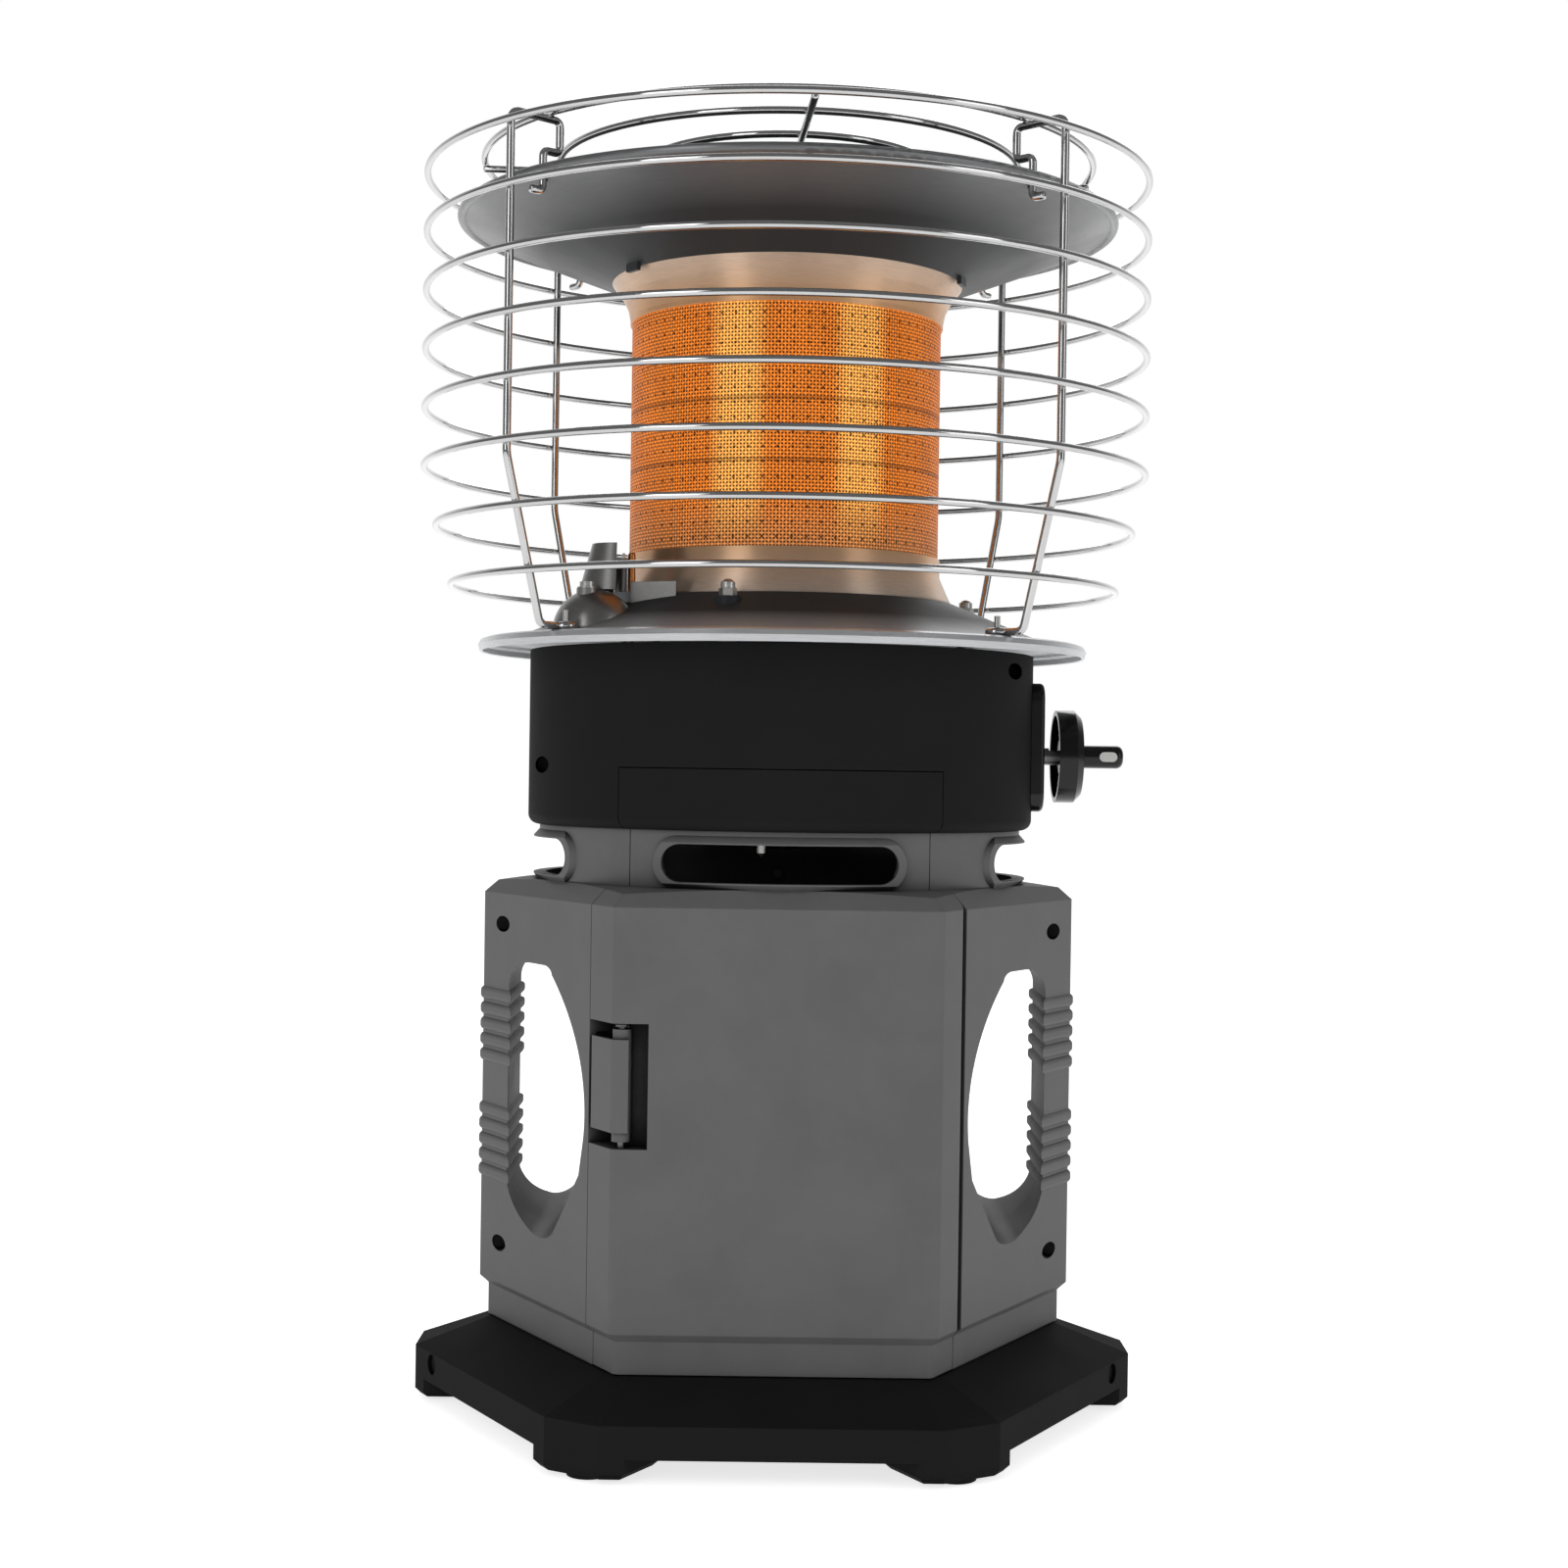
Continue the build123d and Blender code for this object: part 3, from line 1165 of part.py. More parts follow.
with BuildPart() as knob:
    face = knob_front - knob_wall
    with BuildSketch(Plane.XZ):
        with BuildLine():
            Polyline(
                (knob_back, knob_axis + knob_radius),
                (knob_front - knob_chamfer, knob_axis + knob_radius),
                (knob_front, knob_axis + knob_radius - knob_chamfer),
                (knob_front, knob_axis),
                (knob_back + knob_hub_setback, knob_axis),
                (knob_back + knob_hub_setback, knob_axis + knob_hub_radius),
                (face, knob_axis + knob_hub_radius),
                (face, knob_axis + knob_radius - knob_wall - knob_chamfer / 2),
                (face - knob_chamfer / 2, knob_axis + knob_radius - knob_wall),
                (knob_back, knob_axis + knob_radius - knob_wall),
                close=True,
            )
        make_face()
    revolve(axis=Axis((0, 0, knob_axis), (1, 0, 0)))
    with BuildSketch(knob_line.offset(knob_front)):
        RectangleRounded(grip_bar_length, grip_bar_width, grip_bar_end)
    extrude(amount=grip_bar_height)
    fillet(knob.faces().sort_by(Axis.X)[-1].edges(), grip_bar_rounding)
    # bore for the flatted stem
    with BuildSketch(knob_line.offset(knob_back)):
        Circle(stem_radius + shaft_fit)
    extrude(amount=stem_front - stem_flat_length - knob_back, mode=Mode.SUBTRACT)
    with BuildSketch(knob_line.offset(stem_front - stem_flat_length)):
        Circle(stem_radius + shaft_fit)
        with Locations((0, stem_flat + shaft_fit + stem_radius / 2)):
            Rectangle(3 * stem_radius, stem_radius, mode=Mode.SUBTRACT)
    extrude(amount=stem_flat_length, mode=Mode.SUBTRACT)
    pointer_x = knob_front + grip_bar_height - grip_bar_rounding - pointer_length / 2
    pointer_seat = Plane((pointer_x, -grip_bar_length / 2, knob_axis), x_dir=(1, 0, 0), z_dir=(0, -1, 0))
    with BuildSketch(pointer_seat):
        SlotOverall(pointer_length + shaft_fit, 2 * (pointer_radius + shaft_fit))
    extrude(amount=-pointer_height, mode=Mode.SUBTRACT)
knob.part.label = "knob"
export_step(knob.part, "parts/knob.step")

with BuildPart() as knob_pointer:
    with BuildSketch(pointer_seat):
        SlotOverall(pointer_length, 2 * pointer_radius)
    extrude(amount=-pointer_height)
knob_pointer.part.label = "knob_pointer"
export_step(knob_pointer.part, "parts/knob_pointer.step")

with BuildPart() as gas_jet:
    with BuildSketch(Plane.XY.offset(manifold_top)):
        RegularPolygon(jet_radius, 6)
    extrude(amount=jet_height / 2)
    disc(manifold_top, manifold_top + jet_height, jet_radius / 2)
    chamfer(gas_jet.edges().sort_by(Axis.Z)[-1], edge_break)
gas_jet.part.label = "gas_jet"
export_step(gas_jet.part, "parts/gas_jet.step")

with BuildPart() as venturi_tube:
    turned(
        (venturi_radius - sheet, manifold_top),
        (venturi_radius, manifold_top),
        (venturi_radius, manifold_top + 2 * jet_height),
        (throat_radius, manifold_top + 3 * jet_height),
        (throat_radius, shield_top - sheet),
        (venturi_radius, plate_land),
        (venturi_radius, plate_cone_top + lower_collar_flare),
        (venturi_radius - sheet, plate_cone_top + lower_collar_flare),
        (venturi_radius - sheet, plate_land),
        (throat_radius - sheet, shield_top - sheet),
        (throat_radius - sheet, manifold_top + 3 * jet_height),
        (venturi_radius - sheet, manifold_top + 2 * jet_height),
    )
    for turn in (45, 135, 225, 315):
        port = Plane((0, 0, manifold_top + jet_height), z_dir=(*polar(turn, 1), 0))
        rod(port, venturi_port_radius, 2 * venturi_radius, Mode.SUBTRACT)
venturi_tube.part.label = "venturi_tube"
export_step(venturi_tube.part, "parts/venturi_tube.step")

with BuildPart() as tip_over_switch:
    width, depth, height = switch_size
    x, y = switch_place
    block(bracket_top, bracket_top + height, (x - width / 2, x + width / 2), (y - depth / 2, y + depth / 2))
    fillet(tip_over_switch.edges().filter_by(Axis.Z), switch_rounding)
tip_over_switch.part.label = "tip_over_switch"
export_step(tip_over_switch.part, "parts/tip_over_switch.step")

igniter_y = valve_half_width + igniter_radius
with BuildPart() as piezo_igniter:
    igniter_line = Plane((valve_front_x - igniter_length, igniter_y, knob_axis), z_dir=(1, 0, 0))
    rod(igniter_line, igniter_radius - shaft_fit, igniter_length)
piezo_igniter.part.label = "piezo_igniter"
export_step(piezo_igniter.part, "parts/piezo_igniter.step")

# ---------------------------------------------------------------- burner
def plate_height(radius):
    """Level of the burner plate's upper face on its cone."""
    slope = plate_cone_rise / (plate_land_radii[0] - plate_cone_radius)
    return plate_cone_top - (radius - plate_cone_radius) * slope


bush_top = plate_height(stud_circle - nut_radius)
bush_bottom = plate_height(stud_circle + nut_radius) - sheet

pilot_x, pilot_y = pilot_centre
pilot_floor = plate_height(hypot(pilot_x, pilot_y)) + pilot_foot_rise
thermocouple_place = (pilot_x + thermocouple_offset[0], pilot_y + thermocouple_offset[1])
electrode_place = (pilot_x + electrode_offset[0], pilot_y + electrode_offset[1])
lead_places = (pilot_centre, thermocouple_place, electrode_place)
lead_hole_radius = pilot_tube_radius + lead_hole_clearance

with BuildPart() as heat_shield:
    disc(shield_bottom, shield_top, drum_inner_radius - shield_clearance, venturi_radius + shield_clearance)
    for place in lead_places:
        rod(Plane((*place, shield_bottom), z_dir=(0, 0, 1)), lead_hole_radius, sheet, Mode.SUBTRACT)
heat_shield.part.label = "heat_shield"
export_step(heat_shield.part, "parts/heat_shield.step")

with BuildPart() as plate_studs:
    for angle in stud_angles:
        foot = Plane((*polar(angle, stud_circle), shield_top), z_dir=(0, 0, 1))
        rod(foot, stud_sleeve_radius, bush_bottom - shield_top)
        rod(foot, stud_radius, bush_top + nut_height - shield_top)
plate_studs.part.label = "plate_studs"
export_step(plate_studs.part, "parts/plate_studs.step")

with BuildPart() as cap_nuts:
    for angle in stud_angles:
        seat = Plane((*polar(angle, stud_circle), bush_top), z_dir=(0, 0, 1))
        with BuildSketch(seat):
            RegularPolygon(nut_radius, 6)
        extrude(amount=nut_height)
        rod(seat.offset(nut_height), nut_dome_radius, nut_dome_rise)
        with Locations(seat.offset(nut_height + nut_dome_rise).origin):
            Sphere(nut_dome_radius, arc_size1=0)
        rod(seat, stud_radius + shaft_fit, nut_height + shaft_fit, Mode.SUBTRACT)
cap_nuts.part.label = "cap_nuts"
export_step(cap_nuts.part, "parts/cap_nuts.step")

with BuildPart() as burner_plate:
    land_inner, land_outer = plate_land_radii
    rim_bottom = plate_land - plate_rim_drop
    bore = venturi_radius + shaft_fit
    turned(
        (bore, plate_cone_top),
        (plate_cone_radius, plate_cone_top),
        (land_inner, plate_land),
        (land_outer, plate_land),
        (plate_rim_radius - sheet, plate_land - thin_sheet),
        (plate_rim_radius, plate_land - plate_rim_roll),
        (plate_rim_radius - thin_sheet, rim_bottom),
        (plate_rim_radius - sheet - thin_sheet, rim_bottom + sheet - thin_sheet),
        (plate_rim_radius - sheet, plate_land - plate_rim_roll),
        (plate_rim_radius - sheet - thin_sheet, plate_land - plate_rim_roll + sheet),
        (land_outer, plate_land - sheet),
        (land_inner, plate_land - sheet),
        (plate_cone_radius, plate_cone_top - sheet),
        (bore, plate_cone_top - sheet),
    )
    for angle in stud_angles:
        bush = Plane((*polar(angle, stud_circle), bush_bottom), z_dir=(0, 0, 1))
        rod(bush, plate_bush_radius, bush_top - bush_bottom)
        rod(bush, stud_radius + shaft_fit, bush_top - bush_bottom, Mode.SUBTRACT)
    for place in lead_places:
        rod(Plane((*place, shield_top), z_dir=(0, 0, 1)), lead_hole_radius, drum_height, Mode.SUBTRACT)
    for angle in post_angles:
        hole = Plane((*polar(angle, eyelet_circle), drum_top), z_dir=(0, 0, 1))
        rod(hole, guard_screw_radius + shaft_fit, drum_height, Mode.SUBTRACT)
burner_plate.part.label = "burner_plate"
export_step(burner_plate.part, "parts/burner_plate.step")

with BuildPart() as lower_collar:
    band = burner_radius + collar_wall + shaft_fit
    band_bottom = mesh_bottom - lower_band_height
    turned(
        (band, mesh_bottom),
        (band, band_bottom),
        (lower_collar_radius, plate_cone_top + collar_wall),
        (lower_collar_radius, plate_cone_top),
        (burner_radius - 3 * tube_gap, plate_cone_top),
        (burner_radius - 3 * tube_gap, plate_cone_top + collar_wall),
        (lower_collar_radius - collar_wall, plate_cone_top + collar_wall),
        (band - collar_wall, band_bottom),
        (band - collar_wall, mesh_bottom),
    )
lower_collar.part.label = "lower_collar"
export_step(lower_collar.part, "parts/lower_collar.step")

with BuildPart() as emitter_mesh:
    disc(mesh_bottom - mesh_overlap, mesh_top + mesh_overlap / 2, burner_radius, burner_radius - mesh_wall)
emitter_mesh.part.label = "emitter_mesh"
export_step(emitter_mesh.part, "parts/emitter_mesh.step")

with BuildPart() as emitter_tube:
    tube_radius = burner_radius - mesh_wall - tube_gap
    disc(plate_cone_top + collar_wall, reflector_floor - cap_drop, tube_radius, tube_radius - mesh_wall)
emitter_tube.part.label = "emitter_tube"
export_step(emitter_tube.part, "parts/emitter_tube.step")

with BuildPart() as burner_cap:
    disc(reflector_floor - cap_drop, reflector_floor - cap_drop + sheet, burner_radius)
burner_cap.part.label = "burner_cap"
export_step(burner_cap.part, "parts/burner_cap.step")

with BuildPart() as upper_collar:
    flare = upper_collar_radius - band
    spun_sheet(
        [
            (band, mesh_top - mesh_overlap / 3),
            (band, mesh_top),
            *[(band + flare * out, mesh_top + upper_collar_rise * up) for out, up in upper_collar_curve],
            (upper_collar_radius, reflector_floor),
        ],
        (-collar_wall, 0),
    )
upper_collar.part.label = "upper_collar"
export_step(upper_collar.part, "parts/upper_collar.step")


def reflector_height(radius):
    """Level of the reflector's under face on its funnel."""
    slope = reflector_rise / (reflector_radius - upper_collar_radius)
    return reflector_floor + (radius - upper_collar_radius) * slope


with BuildPart() as reflector:
    spun_sheet(
        [(0, reflector_floor), (upper_collar_radius, reflector_floor), (reflector_radius, reflector_rim)],
        (0, sheet),
    )
    with BuildSketch(Plane.XZ):
        with Locations((reflector_radius, reflector_rim + sheet / 2)):
            Circle(reflector_bead_radius)
    revolve(axis=Axis.Z)
    for angle in post_angles:
        hole = Plane((*polar(angle, hook_hole_radius), reflector_floor), z_dir=(0, 0, 1))
        rod(hole, post_wire_radius + lead_hole_clearance, 2 * reflector_rise, Mode.SUBTRACT)
    for angle in reflector_tab_angles:
        root = Plane(
            (*polar(angle, upper_collar_radius + tab_size[0]), reflector_floor + sheet),
            x_dir=(*polar(angle, 1), 0),
            z_dir=(0, 0, 1),
        )
        with BuildSketch(root):
            Rectangle(tab_size[0], tab_size[1])
        extrude(amount=-tab_size[2])
reflector.part.label = "reflector"
export_step(reflector.part, "parts/reflector.step")


# ---------------------------------------------------------------- pilot
def under_plate():
    """Takes away what lies below the upper face of the burner plate."""
    turned(
        (0, drum_bottom),
        (plate_rim_radius, drum_bottom),
        (plate_rim_radius, plate_land),
        (plate_land_radii[0], plate_land),
        (plate_cone_radius, plate_cone_top),
        (0, plate_cone_top),
        mode=Mode.SUBTRACT,
    )


with BuildPart() as pilot_bracket:
    foot_low, foot_high = pilot_foot_angles
    foot_inner, foot_outer = pilot_foot_radii
    with BuildSketch(Plane.XY.offset(plate_land)):
        Circle(foot_outer)
        Circle(foot_inner, mode=Mode.SUBTRACT)
        with BuildLine():
            far = 2 * foot_outer
            Polyline((0, 0), polar(foot_low, far), polar(foot_high, far), close=True)
        make_face(mode=Mode.INTERSECT)
    extrude(amount=pilot_floor - plate_land)
    under_plate()
    for place in lead_places:
        rod(Plane((*place, plate_land), z_dir=(0, 0, 1)), lead_hole_radius, drum_height, Mode.SUBTRACT)
pilot_bracket.part.label = "pilot_bracket"
export_step(pilot_bracket.part, "parts/pilot_bracket.step")

with BuildPart() as pilot_burner:
    base_plane = Plane((*pilot_centre, pilot_floor), z_dir=(0, 0, 1))
    rod(base_plane, pilot_burner_radius, pilot_burner_height)
    fillet(pilot_burner.edges().sort_by(Axis.Z)[-1], pilot_burner_radius / 3)
    flame_port = Plane(base_plane.offset(pilot_port_rise).origin, z_dir=pilot_port_direction)
    rod(flame_port, pilot_burner_radius / 3, 2 * pilot_burner_radius, Mode.SUBTRACT)
pilot_burner.part.label = "pilot_burner"
export_step(pilot_burner.part, "parts/pilot_burner.step")

with BuildPart() as electrode:
    electrode_foot = Plane((*electrode_place, pilot_floor), z_dir=(0, 0, 1))
    rod(electrode_foot, electrode_radius, electrode_height)
    rod(electrode_foot, electrode_tip_radius, electrode_height + electrode_tip)
    route = [
        (valve_front_x - igniter_length, igniter_y, knob_axis),
        (valve_front_x - igniter_length - lead_straight, igniter_y, knob_axis),
        *[(x, y, knob_axis + rise) for x, y, rise in electrode_lead_course],
        (*electrode_place, knob_axis + electrode_lead_rise),
        (*electrode_place, pilot_floor),
    ]
    bent_tube(route, [tube_bend, tube_bend, tube_bend, tight_bend], lead_radius)
electrode.part.label = "electrode"
export_step(electrode.part, "parts/electrode.step")

with BuildPart() as thermocouple:
    tip_plane = Plane((*thermocouple_place, pilot_floor), z_dir=(0, 0, 1))
    rod(tip_plane, thermocouple_radius, thermocouple_height)
    fillet(thermocouple.edges().sort_by(Axis.Z)[-1], thermocouple_rounding)
    route = [
        (thermocouple_lead_course[0][0], -manifold_half_width, knob_axis),
        *[(x, y, knob_axis + rise) for x, y, rise in thermocouple_lead_course],
        (*thermocouple_place, knob_axis + thermocouple_lead_rise),
        (*thermocouple_place, pilot_floor),
    ]
    bent_tube(route, [tube_bend, tube_bend, tube_bend], lead_radius)
thermocouple.part.label = "thermocouple"
export_step(thermocouple.part, "parts/thermocouple.step")

with BuildPart() as pilot_tube:
    route = [
        (pilot_tube_x, -manifold_half_width, knob_axis),
        (pilot_tube_x, pilot_tube_reach, knob_axis),
        (pilot_tube_reach, pilot_y, knob_axis + pilot_tube_rises[0]),
        (pilot_x, pilot_y, knob_axis + pilot_tube_rises[1]),
        (pilot_x, pilot_y, pilot_floor),
    ]
    bent_tube(route, [tight_bend, tube_bend, tube_bend], pilot_tube_radius)
pilot_tube.part.label = "pilot_tube"
export_step(pilot_tube.part, "parts/pilot_tube.step")

with BuildPart() as pilot_cover:
    crown = pilot_floor
    with BuildSketch(Plane((*cover_centre, crown - cover_radius), x_dir=(1, 0, 0), z_dir=(0, -1, 0))):
        Circle(cover_radius)
        Circle(cover_radius - sheet, mode=Mode.SUBTRACT)
        with Locations((cover_radius, cover_radius / 2)):
            Rectangle(2 * cover_radius, 1.5 * cover_radius, mode=Mode.INTERSECT)
    revolve(axis=Axis((*cover_centre, 0), (0, 0, 1)))
    under_plate()
    pad_place = (cover_centre[0] + cover_pad_offset[0], cover_centre[1] + cover_pad_offset[1])
    pad_top = Plane((*pad_place, crown), z_dir=(0, 0, 1))
    rod(pad_top, cover_pad_radius, -cover_pad_depth)
    rod(pad_top, screw_radius + shaft_fit, -1.5 * cover_pad_depth, Mode.SUBTRACT)
pilot_cover.part.label = "pilot_cover"
export_step(pilot_cover.part, "parts/pilot_cover.step")

with BuildPart() as pilot_screw:
    rod(pad_top, cover_pad_radius - sheet / 4, sheet / 2)
    screw(pad_top.offset(sheet / 2), 1.5 * cover_pad_depth)
pilot_screw.part.label = "pilot_screw"
export_step(pilot_screw.part, "parts/pilot_screw.step")

with BuildPart() as pilot_hood:
    hood_floor = pilot_floor
    hood_section = Plane(
        (*hood_centre, hood_floor), x_dir=(*polar(hood_start, 1), 0), z_dir=(*polar(hood_start - 90, 1), 0)
    )
    with BuildSketch(hood_section):
        with BuildLine():
            Polyline(
                (hood_radii[0], 0),
                (hood_radii[1], hood_height),
                (hood_radii[1] - thin_sheet, hood_height),
                (hood_radii[0] - thin_sheet, 0),
                close=True,
            )
        make_face()
    revolve(axis=Axis((*hood_centre, 0), (0, 0, 1)), revolution_arc=hood_arc)
pilot_hood.part.label = "pilot_hood"
export_step(pilot_hood.part, "parts/pilot_hood.step")

with BuildPart() as pilot_strip:
    run = Vector(*strip_finish) - Vector(*strip_start)
    strip_plane = Plane(
        ((strip_start[0] + strip_finish[0]) / 2, (strip_start[1] + strip_finish[1]) / 2, plate_land),
        x_dir=run,
        z_dir=(0, 0, 1),
    )
    with BuildSketch(strip_plane):
        Rectangle(run.length, thin_sheet)
    extrude(amount=strip_top)
    under_plate()
pilot_strip.part.label = "pilot_strip"
export_step(pilot_strip.part, "parts/pilot_strip.step")


# ---------------------------------------------------------------- wire guard
def wire_ring(radius, level):
    """Closed ring of guard wire round the axis."""
    with BuildSketch(Plane.XZ) as section:
        with Locations((radius, level)):
            Circle(wire_radius)
    revolve(section.sketch, axis=Axis.Z)


ring_radii = [side_ring_radius] * side_ring_count + [ring_seven_radius, ring_eight_radius]

with BuildPart() as guard_rings:
    for radius, level in zip(ring_radii[:side_ring_count], ring_levels):
        wire_ring(radius, level)
guard_rings.part.label = "guard_rings"
export_step(guard_rings.part, "parts/guard_rings.step")

with BuildPart() as guard_ring_7:
    wire_ring(ring_radii[side_ring_count], ring_levels[side_ring_count])
guard_ring_7.part.label = "guard_ring_7"
export_step(guard_ring_7.part, "parts/guard_ring_7.step")

with BuildPart() as guard_ring_8:
    wire_ring(ring_radii[-1], ring_levels[-1])
guard_ring_8.part.label = "guard_ring_8"
export_step(guard_ring_8.part, "parts/guard_ring_8.step")

with BuildPart() as top_rings:
    for radius in top_ring_radii:
        wire_ring(radius, top_ring_level)
top_rings.part.label = "top_rings"
export_step(top_rings.part, "parts/top_rings.step")

# two wires crossing under the top rings, welded to them and to each other
with BuildPart() as cross_wires:
    cross_level = top_ring_level - 2 * wire_radius - weld_gap
    for angle in (cross_turn, cross_turn + 90):
        end = (*polar(angle, -top_ring_radii[0]), cross_level)
        rod(Plane(end, z_dir=(*polar(angle, 1), 0)), wire_radius, 2 * top_ring_radii[0])
cross_wires.part.label = "cross_wires"
export_step(cross_wires.part, "parts/cross_wires.step")

post_radius = side_ring_radius - wire_radius - post_wire_radius - weld_gap
lean = (ring_seven_radius - ring_eight_radius) / ring_pitch
lean_setback = (wire_radius + post_wire_radius + weld_gap) * hypot(1, lean)
low_ring_level = ring_levels[side_ring_count]
post_foot_level = plate_land + post_wire_radius


def leaning_radius(level):
    """Radius of the leaning stretch of a post, which passes just inside the two lowest rings."""
    return ring_seven_radius - lean_setback - (low_ring_level - level) * lean


knee_level = low_ring_level + (post_radius - leaning_radius(low_ring_level)) / lean
hook_arm_level = under_rings - hook_drop
hook_tail_level = hook_arm_level - hook_tail_drop

with BuildPart() as guard_posts:
    for angle in post_angles:
        profile = [
            (hook_hole_radius + hook_tail, hook_tail_level),
            (hook_hole_radius, hook_tail_level),
            (hook_hole_radius, hook_arm_level),
            (hook_inner_radius, hook_arm_level),
            (hook_inner_radius, under_rings),
            (post_radius, under_rings),
            (post_radius, knee_level),
            (leaning_radius(post_foot_level), post_foot_level),
            (eyelet_circle + eyelet_radius, post_foot_level),
        ]
        path = [(*polar(angle, radius), level) for radius, level in profile]
        bends = [hook_bend, hook_bend, hook_bend, hook_bend, post_bend, knee_bend, post_bend]
        bent_tube(path, bends, post_wire_radius)
        eyelet_centre = (*polar(angle, eyelet_circle), post_foot_level)
        with BuildSketch(Plane(eyelet_centre, x_dir=(1, 0, 0), z_dir=(0, -1, 0))):
            with Locations((eyelet_radius, 0)):
                Circle(post_wire_radius)
        revolve(axis=Axis((*polar(angle, eyelet_circle), 0), (0, 0, 1)))
guard_posts.part.label = "guard_posts"
export_step(guard_posts.part, "parts/guard_posts.step")

with BuildPart() as guard_screws:
    shank = sheet + 2 * post_wire_radius + guard_screw_over
    for angle in post_angles:
        seat = Plane((*polar(angle, eyelet_circle), plate_land - sheet), z_dir=(0, 0, -1))
        screw(seat, shank, guard_screw_radius, 2 * guard_screw_radius)
guard_screws.part.label = "guard_screws"
export_step(guard_screws.part, "parts/guard_screws.step")
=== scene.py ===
# %% [markdown]
# # A portable propane heater, dressed for its picture
#
# The heater is a hexagonal housing that hides a small gas cylinder, a black drum with the
# valve, a dish that carries a glowing burner of woven steel, a spun reflector and a guard
# of chromed wire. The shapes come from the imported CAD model. This notebook gives each of
# them its finish, and makes the wires of the guard again as smooth surfaces.

import math

import bmesh
import bpy
import numpy as np
from mathutils import Matrix, Vector


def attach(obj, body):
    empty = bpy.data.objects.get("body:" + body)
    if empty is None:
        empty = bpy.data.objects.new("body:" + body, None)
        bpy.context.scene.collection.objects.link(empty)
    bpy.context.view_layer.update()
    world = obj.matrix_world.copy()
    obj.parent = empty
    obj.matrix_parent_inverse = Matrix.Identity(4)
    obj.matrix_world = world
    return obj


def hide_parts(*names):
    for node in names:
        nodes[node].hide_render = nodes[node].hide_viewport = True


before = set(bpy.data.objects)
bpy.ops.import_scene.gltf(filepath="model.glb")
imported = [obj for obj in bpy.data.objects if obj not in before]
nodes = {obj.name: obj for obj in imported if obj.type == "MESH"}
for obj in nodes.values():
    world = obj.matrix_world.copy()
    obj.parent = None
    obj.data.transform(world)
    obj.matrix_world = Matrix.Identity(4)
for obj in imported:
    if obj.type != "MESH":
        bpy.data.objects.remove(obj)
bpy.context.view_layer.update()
print("CAD nodes:", len(nodes))

# %% [markdown]
# ## Camera
#
# The heater is seen from straight in front of its door, from a little over one metre and
# about half way up, so the rings of the guard above that height show their undersides
# and the ones below it their tops. A long lens keeps the housing's edges nearly upright.
# The camera leans by less than a degree, as a hand-levelled tripod does.

# %% Camera
MM = 0.001
CAMERA_PLACE = np.array([-4.13, -1110.7, 285.9]) * MM
CAMERA_YAW = math.radians(0.303)
CAMERA_PITCH = math.radians(0.345)
CAMERA_ROLL = math.radians(0.822)
SENSOR = 36.0
FOCAL_SHARE = 2482 / 1600  # focal length as a share of the picture's width


def camera_matrix():
    """Axes of the camera: forward from yaw and pitch, then right and up turned by the roll."""
    forward = np.array(
        [
            math.sin(CAMERA_YAW) * math.cos(CAMERA_PITCH),
            math.cos(CAMERA_YAW) * math.cos(CAMERA_PITCH),
            -math.sin(CAMERA_PITCH),
        ]
    )
    level_right = np.cross(forward, (0, 0, 1))
    level_right /= np.linalg.norm(level_right)
    level_up = np.cross(level_right, forward)
    right = math.cos(CAMERA_ROLL) * level_right + math.sin(CAMERA_ROLL) * level_up
    up = -math.sin(CAMERA_ROLL) * level_right + math.cos(CAMERA_ROLL) * level_up
    matrix = Matrix.Identity(4)
    for row in range(3):
        matrix[row][0] = right[row]
        matrix[row][1] = up[row]
        matrix[row][2] = -forward[row]
        matrix[row][3] = CAMERA_PLACE[row]
    return matrix


lens = bpy.data.cameras.new("camera")
lens.sensor_width = SENSOR
lens.lens = SENSOR * FOCAL_SHARE
lens.clip_end = 60
camera = bpy.data.objects.new("camera", lens)
camera.matrix_world = camera_matrix()
bpy.context.scene.collection.objects.link(camera)
bpy.context.scene.camera = camera
print("focal length", round(lens.lens, 2), "mm")

# %% [markdown]
# ## Nodes in one line each
#
# A material is a small graph. One function adds a node with its settings and its links,
# and a few more stand for what comes back often: a step of arithmetic, noise, a bump, a
# softened edge. So a material below reads from top to bottom like a recipe. Colours are
# written as the hex values that a picture editor shows, and one function turns them to
# linear light.

# %% Material helpers
def linear(hex_colour):
    """Linear RGBA of an sRGB hex value: x/12.92 below 0.04045, else ((x+0.055)/1.055)^2.4."""
    value = np.array([int(hex_colour[i : i + 2], 16) for i in (1, 3, 5)]) / 255
    low = value / 12.92
    high = ((value + 0.055) / 1.055) ** 2.4
    return (*np.where(value <= 0.04045, low, high), 1.0)


def add(material, kind, settings=None, **links):
    """Adds a node. Settings are its properties; links are its inputs, a value or an output.

    In an input's name an underscore stands for a space, and i0, i1 stand for its number.
    """
    node = material.node_tree.nodes.new("ShaderNode" + kind)
    for name, value in (settings or {}).items():
        setattr(node, name, value)
    for name, value in links.items():
        numbered = name[0] == "i" and name[1:].isdigit()
        socket = node.inputs[int(name[1:]) if numbered else name.replace("_", " ")]
        if isinstance(value, bpy.types.NodeSocket):
            material.node_tree.links.new(value, socket)
        else:
            socket.default_value = value
    return node


def new_material(name):
    """Empty node material."""
    material = bpy.data.materials.new(name)
    material.use_nodes = True
    material.node_tree.nodes.clear()
    return material


def finish_material(material, shader):
    """Links the shader to the output."""
    add(material, "OutputMaterial", None, Surface=shader)
    return material


def object_coordinates(material):
    """The piece's own coordinates, in metres."""
    return add(material, "TexCoord").outputs["Object"]


